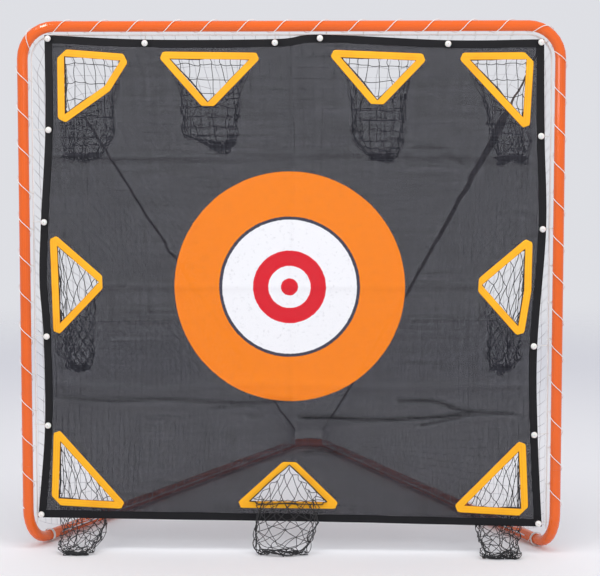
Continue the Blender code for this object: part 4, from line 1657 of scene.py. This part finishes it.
    def net(self, mesher: Mesher, grid: np.ndarray, rng: np.random.Generator) -> None:
        """Cords and knots between the points of a grid.

        Args:
            mesher: takes the net.
            grid: knots by row, by place round the bag.
            rng: draws the cords' slack.
        """
        starts, ends = [], []
        for row, (ring, after) in enumerate(zip(grid, grid[1:])):
            if self.shape.pattern is NetPattern.DIAMOND:
                starts += [ring, ring]
                ends += [after, np.roll(after, -1 if row % 2 else 1, 0)]
            else:
                starts += [ring, after]
                ends += [after, np.roll(after, -1, 0)]
        start, end = np.vstack(starts), np.vstack(ends)
        share = np.linspace(0, 1, 5)[None, :, None]
        bow = rng.normal(0, 1, (len(start), 1, 3)) * np.array([0.0028, 0.0014, 0.0020])
        bow[..., 2] -= 0.0020
        paths = start[:, None] * (1 - share) + end[:, None] * share + bow * 4 * share * (1 - share)
        paths[..., 2] = np.maximum(paths[..., 2], self.cord + 0.0002)
        mesher.tubes(paths, self.cord, 5)
        mesher.knots(grid[1:].reshape(-1, 3), self.knot, 6)

    def thick_edge(self, mesher: Mesher, rng: np.random.Generator) -> None:
        """The gathered edge of the net, which shows inside the tape along one side.

        Args:
            mesher: takes the cords.
            rng: draws their slack.
        """
        points = self.edge_points
        edge = even_steps(self.sheet.clear_edge(self.name), points, True)
        middle = edge.mean(0)
        angle = np.arctan2(edge[:, 1] - middle[1], edge[:, 0] - middle[0])
        shows = np.cos(angle - math.radians(self.shape.edge_side))
        for number in range(3):
            slack = np.convolve(np.tile(rng.normal(0, 1, points), 3), np.ones(7) / 7,
                                "same")[points:2 * points]
            shift = np.clip(shows, -0.2, 1) * (0.0035 + 0.0015 * number) + slack * 0.0022 - 0.0012
            inward = (middle - edge) / np.linalg.norm(middle - edge, axis=1)[:, None]
            flat = edge + inward * shift[:, None]
            y = self.sheet.drape.depth(flat[:, 0], flat[:, 1]) + 0.0030 + 0.0012 * number
            if self.shape.lie is BagLie.FRONT:
                y = y - 0.0095
                flat[:, 1] -= 0.010 * (shows > 0.3)
            mesher.tubes(np.stack([flat[:, 0], y, flat[:, 1]], -1)[None], self.cord * 1.2, 6, True)

    def end_bunch(self, mesher: Mesher, grid: np.ndarray, rng: np.random.Generator) -> None:
        """The cords that lie bunched along the bag's end.

        Args:
            mesher: takes the cords.
            grid: knots by row, by place round the bag.
            rng: draws how the cords lie.
        """
        last = grid[-1]
        middle = last.mean(0)
        loops = []
        for number in range(self.bunch_loops):
            ring = middle + (last - middle) * (1 - 0.12 * number)
            ring = ring + rng.normal(0, 1, ring.shape) * np.array([0.0075, 0.0035, 0.0055])
            if self.shape.lie is BagLie.HANGING:
                ring[:, 2] += rng.uniform(0.0, 0.016)
            ring[:, 2] = np.maximum(ring[:, 2], 0.0024)
            loop = smooth_curve(np.vstack([ring, ring[:1]]), 3)[:-1]
            loop[:, 2] = np.maximum(loop[:, 2], 0.0022)
            loops.append(even_steps(loop, self.around * 3, True))
        mesher.tubes(np.array(loops), self.cord * 1.5, 5, True)


@dataclass
class BallTie:
    """A ball on the sheet's front, its grommet, and elastic that hooks round the rope."""

    number: int
    place: Point
    sheet: TargetSheet
    ball: float = 0.011
    bore: float = 0.0021
    elastic: float = 0.0011
    hook: float = 0.0052
    grommet_inner: float = 0.0050
    grommet_outer: float = 0.0092
    grommet_face: float = 0.0019
    ball_gap: float = 0.0022
    rope_inward: float = 0.030
    rope_depth: float = 0.014

    def frame_matrix(self) -> tuple[Matrix, float]:
        """The tie's own frame, and how far off the rope is.

        Returns:
            A matrix whose X runs towards the tube, and the distance to the rope.
        """
        goal = self.sheet.goal
        x, z = self.place
        corner_x, corner_z = goal.post_x - goal.top_bend, goal.bar_z - goal.top_bend
        if abs(x) > corner_x and z > corner_z:
            middle = Vector((math.copysign(corner_x, x), corner_z))
            tube = middle + (Vector((x, z)) - middle).normalized() * goal.top_bend
        elif z > corner_z:
            tube = Vector((x, goal.bar_z))
        else:
            tube = Vector((math.copysign(goal.post_x, x), z))
        out = tube - Vector((x, z))
        depth = float(self.sheet.drape.depth(np.array([x]), np.array([z]))[0])
        turn = Matrix.Rotation(-math.atan2(out.y, out.x), 4, "Y")
        return Matrix.Translation((x, depth, z)) @ turn, out.length - self.rope_inward

    def ball_profile(self) -> list[Point]:
        """The ball's section, with its bore at the front.

        Returns:
            Its (radius, level) points.
        """
        profile = [(0.0, self.ball * 0.45), (self.bore, self.ball * 0.45)]
        start = math.asin(self.bore * 1.25 / self.ball)
        steps = 16
        profile.append((self.bore, self.ball * math.cos(start) - 0.0006))
        for step in range(steps + 1):
            angle = start + (math.pi - start) * step / steps
            profile.append((self.ball * math.sin(angle), self.ball * math.cos(angle)))
        return profile[::-1]

    def build(self, plastic: bpy.types.Material, cord: bpy.types.Material,
              metal: bpy.types.Material) -> None:
        """Make the ball with its elastic, and the grommet.

        Args:
            plastic: the ball's material.
            cord: the elastic's.
            metal: the grommet's.
        """
        place, reach = self.frame_matrix()
        shift = self.sheet.goal.shift
        forward = place @ Matrix.Rotation(math.pi / 2, 4, "X")
        out = self.ball + self.ball_gap
        mesher = Mesher()
        mesher.lathe(self.ball_profile(), 28, forward @ Matrix.Translation((0, 0, out)))
        ball = mesher.piece(f"tie_ball_{self.number:02d}", shift, plastic, True)
        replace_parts(ball, f"ball_tie_{self.number:02d}")
        mesher = Mesher()
        route = [(0.0004, -out * 0.9, 0), (0.0004, -0.002, 0.0003), (0.0006, 0.0040, 0.0003)]
        for step in range(9):
            angle = math.pi * (step / 8 - 0.5)
            route.append((reach + self.hook * math.cos(angle),
                          self.rope_depth + self.hook * math.sin(angle), 0.0))
        route += [(0.002, 0.0120, -0.0008), (-0.003, 0.0085, -0.002), (-0.0045, 0.0052, 0.001),
                  (-0.001, 0.0046, 0.0035)]
        line = smooth_curve(route, 5)
        matrix = np.array(place)
        mesher.tubes((line @ matrix[:3, :3].T + matrix[:3, 3])[None], self.elastic, 8)
        elastic = mesher.piece(f"tie_elastic_{self.number:02d}", shift, cord)
        mesher = Mesher()
        inner, outer, face = self.grommet_inner, self.grommet_outer, self.grommet_face
        ring = [(inner, -face), (inner, face), (inner + 0.0006, face + 0.0006),
                ((inner + outer) / 2, face + 0.0008), (outer - 0.0005, face + 0.0004),
                (outer, face - 0.0002), (outer, face - 0.0004), (outer, -face + 0.0004),
                (outer - 0.0005, -face - 0.0004), ((inner + outer) / 2, -face - 0.0006),
                (inner, -face)]
        mesher.lathe(ring[::-1], 24, forward)
        grommet = mesher.piece(f"grommet_{self.number:02d}", shift, metal, True)


@dataclass
class GoalNet:
    """The white net: a roof and two sides that narrow to the back, with gathered ridges."""

    goal: GoalFrame
    inward: float = 0.030
    front: float = 0.014
    rear: float = 2.0
    rear_top: float = 0.10
    foot: float = 0.030
    foot_lift: float = 0.070
    foot_fade: float = 14.0
    sag: float = 0.035
    roof_dip: float = 0.045
    side_pull: float = 0.030
    corner_steps: int = 8
    side_cells: int = 42
    roof_cells: int = 44
    deep_cells: int = 56
    cord: float = 0.0009
    knot: float = 0.0017
    ridge_points: int = 160
    ridge_strands: int = 9
    rope: float = 0.0022
    rope_run: Point = (0.17, 2.14)
    rope_inward: float = 0.0285
    rope_rise: float = 0.006
    seed: int = 71

    def section(self, share: float) -> np.ndarray:
        """The net's knots across the goal.

        Args:
            share: how far back, from 0 at the mouth to 1.

        Returns:
            Knots from the left foot over the roof to the right foot.
        """
        goal = self.goal
        depth = self.front + (self.rear - self.front) * share
        rear_half = goal.half_width(self.rear) - self.inward
        top_half = (goal.post_x - self.inward) * (1 - share) + rear_half * share
        foot_half = goal.half_width(depth) - self.inward * 1.08
        foot = self.foot + self.foot_lift * math.exp(-share * self.foot_fade)
        top = (goal.bar_z - self.inward) * (1 - share) + self.rear_top * share
        top -= 4 * self.sag * share * (1 - share)
        bend = (goal.top_bend - self.inward) * (1 - share) ** 2 + 0.004
        corners = [(-foot_half, depth, foot), (-top_half, depth, top),
                   (top_half, depth, top), (foot_half, depth, foot)]
        line = bent_line(corners, bend, self.corner_steps)
        first = 1 + self.corner_steps // 2
        last = len(line) - 1 - first
        left = even_steps(line[:first + 1], self.side_cells + 1)
        roof = even_steps(line[first:last + 1], self.roof_cells + 1)
        right = even_steps(line[last:], self.side_cells + 1)
        t = np.linspace(0, 1, self.roof_cells + 1)
        dip = self.roof_dip * np.sin(math.pi * t)
        roof[:, 2] -= dip * math.sin(math.pi * min(1, share * 1.1)) ** 0.8
        t = np.linspace(0, 1, self.side_cells + 1)
        pull = self.side_pull * np.sin(math.pi * t) * math.sin(math.pi * share)
        left[:, 0] += pull
        right[:, 0] -= pull[::-1]
        return np.vstack([left[:-1], roof, right[1:]])

    def build(self) -> None:
        """Make the net, its ridges and the ropes along the ground bars."""
        rng = np.random.default_rng(self.seed)
        finish = CordFinish("white_net_twine", (0.80, 0.81, 0.84), (0.44, 0.44, 0.47)).material()
        grid = np.array([self.section(step / self.deep_cells)
                         for step in range(self.deep_cells + 1)])
        grid[1:-1, 1:-1] += rng.normal(0, 0.0022, grid[1:-1, 1:-1].shape)
        along = np.stack([grid[:-1], grid[1:]], 2).reshape(-1, 2, 3)
        across = np.stack([grid[:, :-1], grid[:, 1:]], 2).reshape(-1, 2, 3)
        mesher = Mesher()
        mesher.tubes(np.vstack([along, across]), self.cord, 3)
        mesher.knots(grid.reshape(-1, 3), self.knot, 4)
        net = mesher.piece("goal_net_twine", self.goal.shift, finish)
        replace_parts(net, "goal_net")
        LOG.info("goal net: %d knots", grid[..., 0].size)
        self.ridges(grid, rng)
        self.ground_ropes(finish)

    def ridges(self, grid: np.ndarray, rng: np.random.Generator) -> None:
        """The net gathered into a twisted ridge from each top corner to the back, coloured dark as
        painted shade.

        Args:
            grid: the net's knots, by section and across.
            rng: draws how the strands lie.
        """
        # The white net's ridges are coloured dark grey-brown: painted shade
        finish = CordFinish("ridge_twine_painted_shade", (0.20, 0.16, 0.15), (0.08, 0.07, 0.07)).material()
        left_size = ((0.0, 0.0045), (0.5, 0.0060), (1.0, 0.0040))
        right_size = ((0.0, 0.0035), (0.10, 0.0040), (0.14, 0.0170), (0.21, 0.0130),
                      (0.32, 0.0085), (0.55, 0.0060), (1.0, 0.0040))
        for word, column, start, size in (("left", self.side_cells, 0.16, left_size),
                                          ("right", self.side_cells + self.roof_cells, 0.02,
                                           right_size)):
            line = even_steps(grid[int(start * self.deep_cells):, column], self.ridge_points)
            share = np.linspace(0, 1, self.ridge_points)
            spread = np.interp(share, *zip(*size))
            strands = []
            for number in range(self.ridge_strands):
                turn = share * 22 + number * math.tau / 8
                off = spread * (0.62 if number else 0.0)
                strands.append(line + np.stack([np.cos(turn) * off, 0.3 * np.sin(turn) * off,
                                                np.sin(turn) * off], -1)
                               + rng.normal(0, 0.0006, line.shape))
            mesher = Mesher()
            radius = np.broadcast_to(np.maximum(spread * 0.36, 0.0012),
                                     (self.ridge_strands, self.ridge_points))
            mesher.tubes(np.array(strands), radius, 6)
            ridge = mesher.piece(word + "_net_ridge", self.goal.shift, finish)

    def ground_ropes(self, finish: bpy.types.Material) -> None:
        """The ropes along the net's bottom, inside the ground bars.

        Args:
            finish: their material.
        """
        mesher = Mesher()
        for side in (-1, 1):
            line = np.array([self.goal.bar_point(side, run) for run in self.rope_run])
            line += (-side * self.rope_inward, 0, self.rope_rise)
            mesher.tubes(even_steps(line, 160)[None], self.rope, 8)
        mesher.piece("net_ground_ropes", self.goal.shift, finish)


@dataclass(frozen=True)
class Studio:
    """The pale floor, the soft lights, and the camera."""

    shift: float
    eye: tuple[float, float, float] = (0.281, -6.479, 1.53)
    turn: float = 0.038
    pitch: float = -0.091
    lens: float = 111.5
    floor_radius: float = 9.0
    floor_sides: int = 96

    def build(self) -> None:
        """Make the camera, the floor and the lights, and show colours as they are."""
        bpy.context.scene.view_settings.view_transform = "Standard"
        self.camera()
        self.floor()
        self.lights()

    def camera(self) -> None:
        """The camera in front of the mouth, a little to the right."""
        data = bpy.data.cameras.new("camera")
        data.lens = self.lens
        data.sensor_width = 36
        made = bpy.data.objects.new("camera", data)
        x, y, z = self.eye
        made.location = (x, y + self.shift, z)
        made.rotation_euler = Euler((math.pi / 2 + self.pitch, 0, self.turn))
        bpy.context.scene.collection.objects.link(made)
        bpy.context.scene.camera = made

    def floor(self) -> None:
        """One round sheet of paper under the goal."""
        angle = np.arange(self.floor_sides) * math.tau / self.floor_sides
        rim = np.stack([self.floor_radius * np.cos(angle), self.floor_radius * np.sin(angle),
                        np.zeros(self.floor_sides)], -1)
        mesh = bpy.data.meshes.new("studio_floor")
        mesh.from_pydata(rim.tolist(), [], [list(range(self.floor_sides))])
        mesh.materials.append(StudioPaper().material())
        made = bpy.data.objects.new("studio_floor", mesh)
        bpy.context.scene.collection.objects.link(made)

    def lights(self) -> None:
        """Two tall strips beside the goal, soft boxes in front and above, and a soft world."""
        for name, place in (("left", (-1.62, -1.25, 2.25)), ("right", (1.56, -2.05, 2.25))):
            strip = self.area("strip_" + name, place, (0, 0, 1.75), (0.24, 2.2), 34)
            # A strip only shows as a bright line in the tubes' gloss
            strip.visible_diffuse = False
        self.area("soft_left", (-3.6, -5.2, 2.6), (0, 0, 1.0), (1.6, 2.2), 56)
        self.area("soft_right", (3.8, -5.0, 2.6), (0, 0, 1.0), (1.6, 2.2), 68)
        self.area("overhead", (0, -1.4, 4.9), (0, 0.2, 0.0), (3.2, 1.6), 60)
        world = bpy.data.worlds.new("studio_air")
        world.use_nodes = True
        background = world.node_tree.nodes["Background"]
        background.inputs["Color"].default_value = (0.94, 0.95, 1.0, 1)
        background.inputs["Strength"].default_value = 0.78
        bpy.context.scene.world = world

    def area(self, name: str, place: Sequence[float], target: Sequence[float],
             size: Point, power: float) -> bpy.types.Object:
        """One rectangular light.

        Args:
            name: the light's name.
            place: where it stands, in goal coordinates.
            target: what it points at.
            size: its width and height.
            power: its watts.

        Returns:
            The light.
        """
        data = bpy.data.lights.new(name, "AREA")
        data.shape = "RECTANGLE"
        data.size, data.size_y = size
        data.energy = power
        made = bpy.data.objects.new(name, data)
        made.location = Vector(place) + Vector((0, self.shift, 0))
        aim = Vector(target) - Vector(place)
        made.rotation_euler = aim.to_track_quat("-Z", "Y").to_euler()
        made.visible_camera = False
        bpy.context.scene.collection.objects.link(made)
        return made


# ------------------------------------------------------------------ the nine bags

BAGS: dict[str, BagShape] = {
    "top_left": BagShape(
        BagLie.HANGING, NetPattern.SQUARE, middle_x=-0.715, belly=0.094, end_x=-0.733,
        end_half=0.060, bottom=1.384, edge_side=200),
    "top_inner_left": BagShape(
        BagLie.HANGING, NetPattern.SQUARE, middle_x=-0.282, belly=0.100, end_x=-0.240,
        end_half=0.030, bottom=1.402, edge_side=205, tip=0.030),
    "top_inner_right": BagShape(
        BagLie.HANGING, NetPattern.SQUARE, middle_x=0.306, belly=0.092, end_x=0.320,
        end_half=0.034, bottom=1.378, edge_side=200, tip=0.010),
    "top_right": BagShape(
        BagLie.HANGING, NetPattern.SQUARE, middle_x=0.768, belly=0.072, end_x=0.779,
        end_half=0.044, bottom=1.375, edge_side=205),
    "middle_left": BagShape(
        BagLie.HANGING, NetPattern.DIAMOND, middle_x=-0.765, belly=0.066, end_x=-0.750,
        end_half=0.034, bottom=0.629, edge_side=180, tip=0.012),
    "middle_right": BagShape(
        BagLie.HANGING, NetPattern.DIAMOND, middle_x=0.752, belly=0.060, end_x=0.745,
        end_half=0.036, bottom=0.637, edge_side=0, tip=0.010),
    "bottom_left": BagShape(
        BagLie.GROUND, NetPattern.DIAMOND, middle_x=-0.738, belly=0.084, end_x=-0.752,
        end_half=0.042, bottom=0.0, edge_side=180),
    "bottom_right": BagShape(
        BagLie.GROUND, NetPattern.DIAMOND, middle_x=0.736, belly=0.078, end_x=0.742,
        end_half=0.062, bottom=0.0, edge_side=0),
    "bottom_centre": BagShape(
        BagLie.FRONT, NetPattern.DIAMOND, middle_x=-0.010, belly=0.110, end_x=-0.030,
        end_half=0.078, bottom=0.0, edge_side=270),
}


def main() -> None:
    """Build the goal in order."""
    logging.basicConfig(level=logging.INFO, format="%(name)s %(message)s")
    low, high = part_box("target_sheet")
    goal = GoalFrame(shift=(low[1] + high[1]) / 2)
    Studio(goal.shift).build()
    goal.dress()
    LOG.info("frame dressed, shift %.4f", goal.shift)
    Lacing(goal).build()
    sheet = TargetSheet(goal)
    sheet.build()
    black = CordFinish("black_net_twine", (0.020, 0.020, 0.023), (0.006, 0.006, 0.007)).material()
    for seed, (name, shape) in enumerate(BAGS.items(), 11):
        PocketBag(name, shape, sheet, seed).build(black)
    plastic = BallPlastic().material()
    elastic = CordFinish("white_elastic", (0.84, 0.84, 0.82), (0.48, 0.47, 0.45),
                         0.0022, 0.0001).material()
    bronze = PlatedSteel("dark_grommet_brass", (0.10, 0.07, 0.05), 0.35).material()
    places = [*sheet.top, *sheet.right, *sheet.left, *sheet.bottom]
    for number, place in enumerate(places, 1):
        BallTie(number, place, sheet).build(plastic, elastic, bronze)
    LOG.info("%d ball ties", len(places))
    GoalNet(goal).build()


if __name__ == "__main__":
    main()
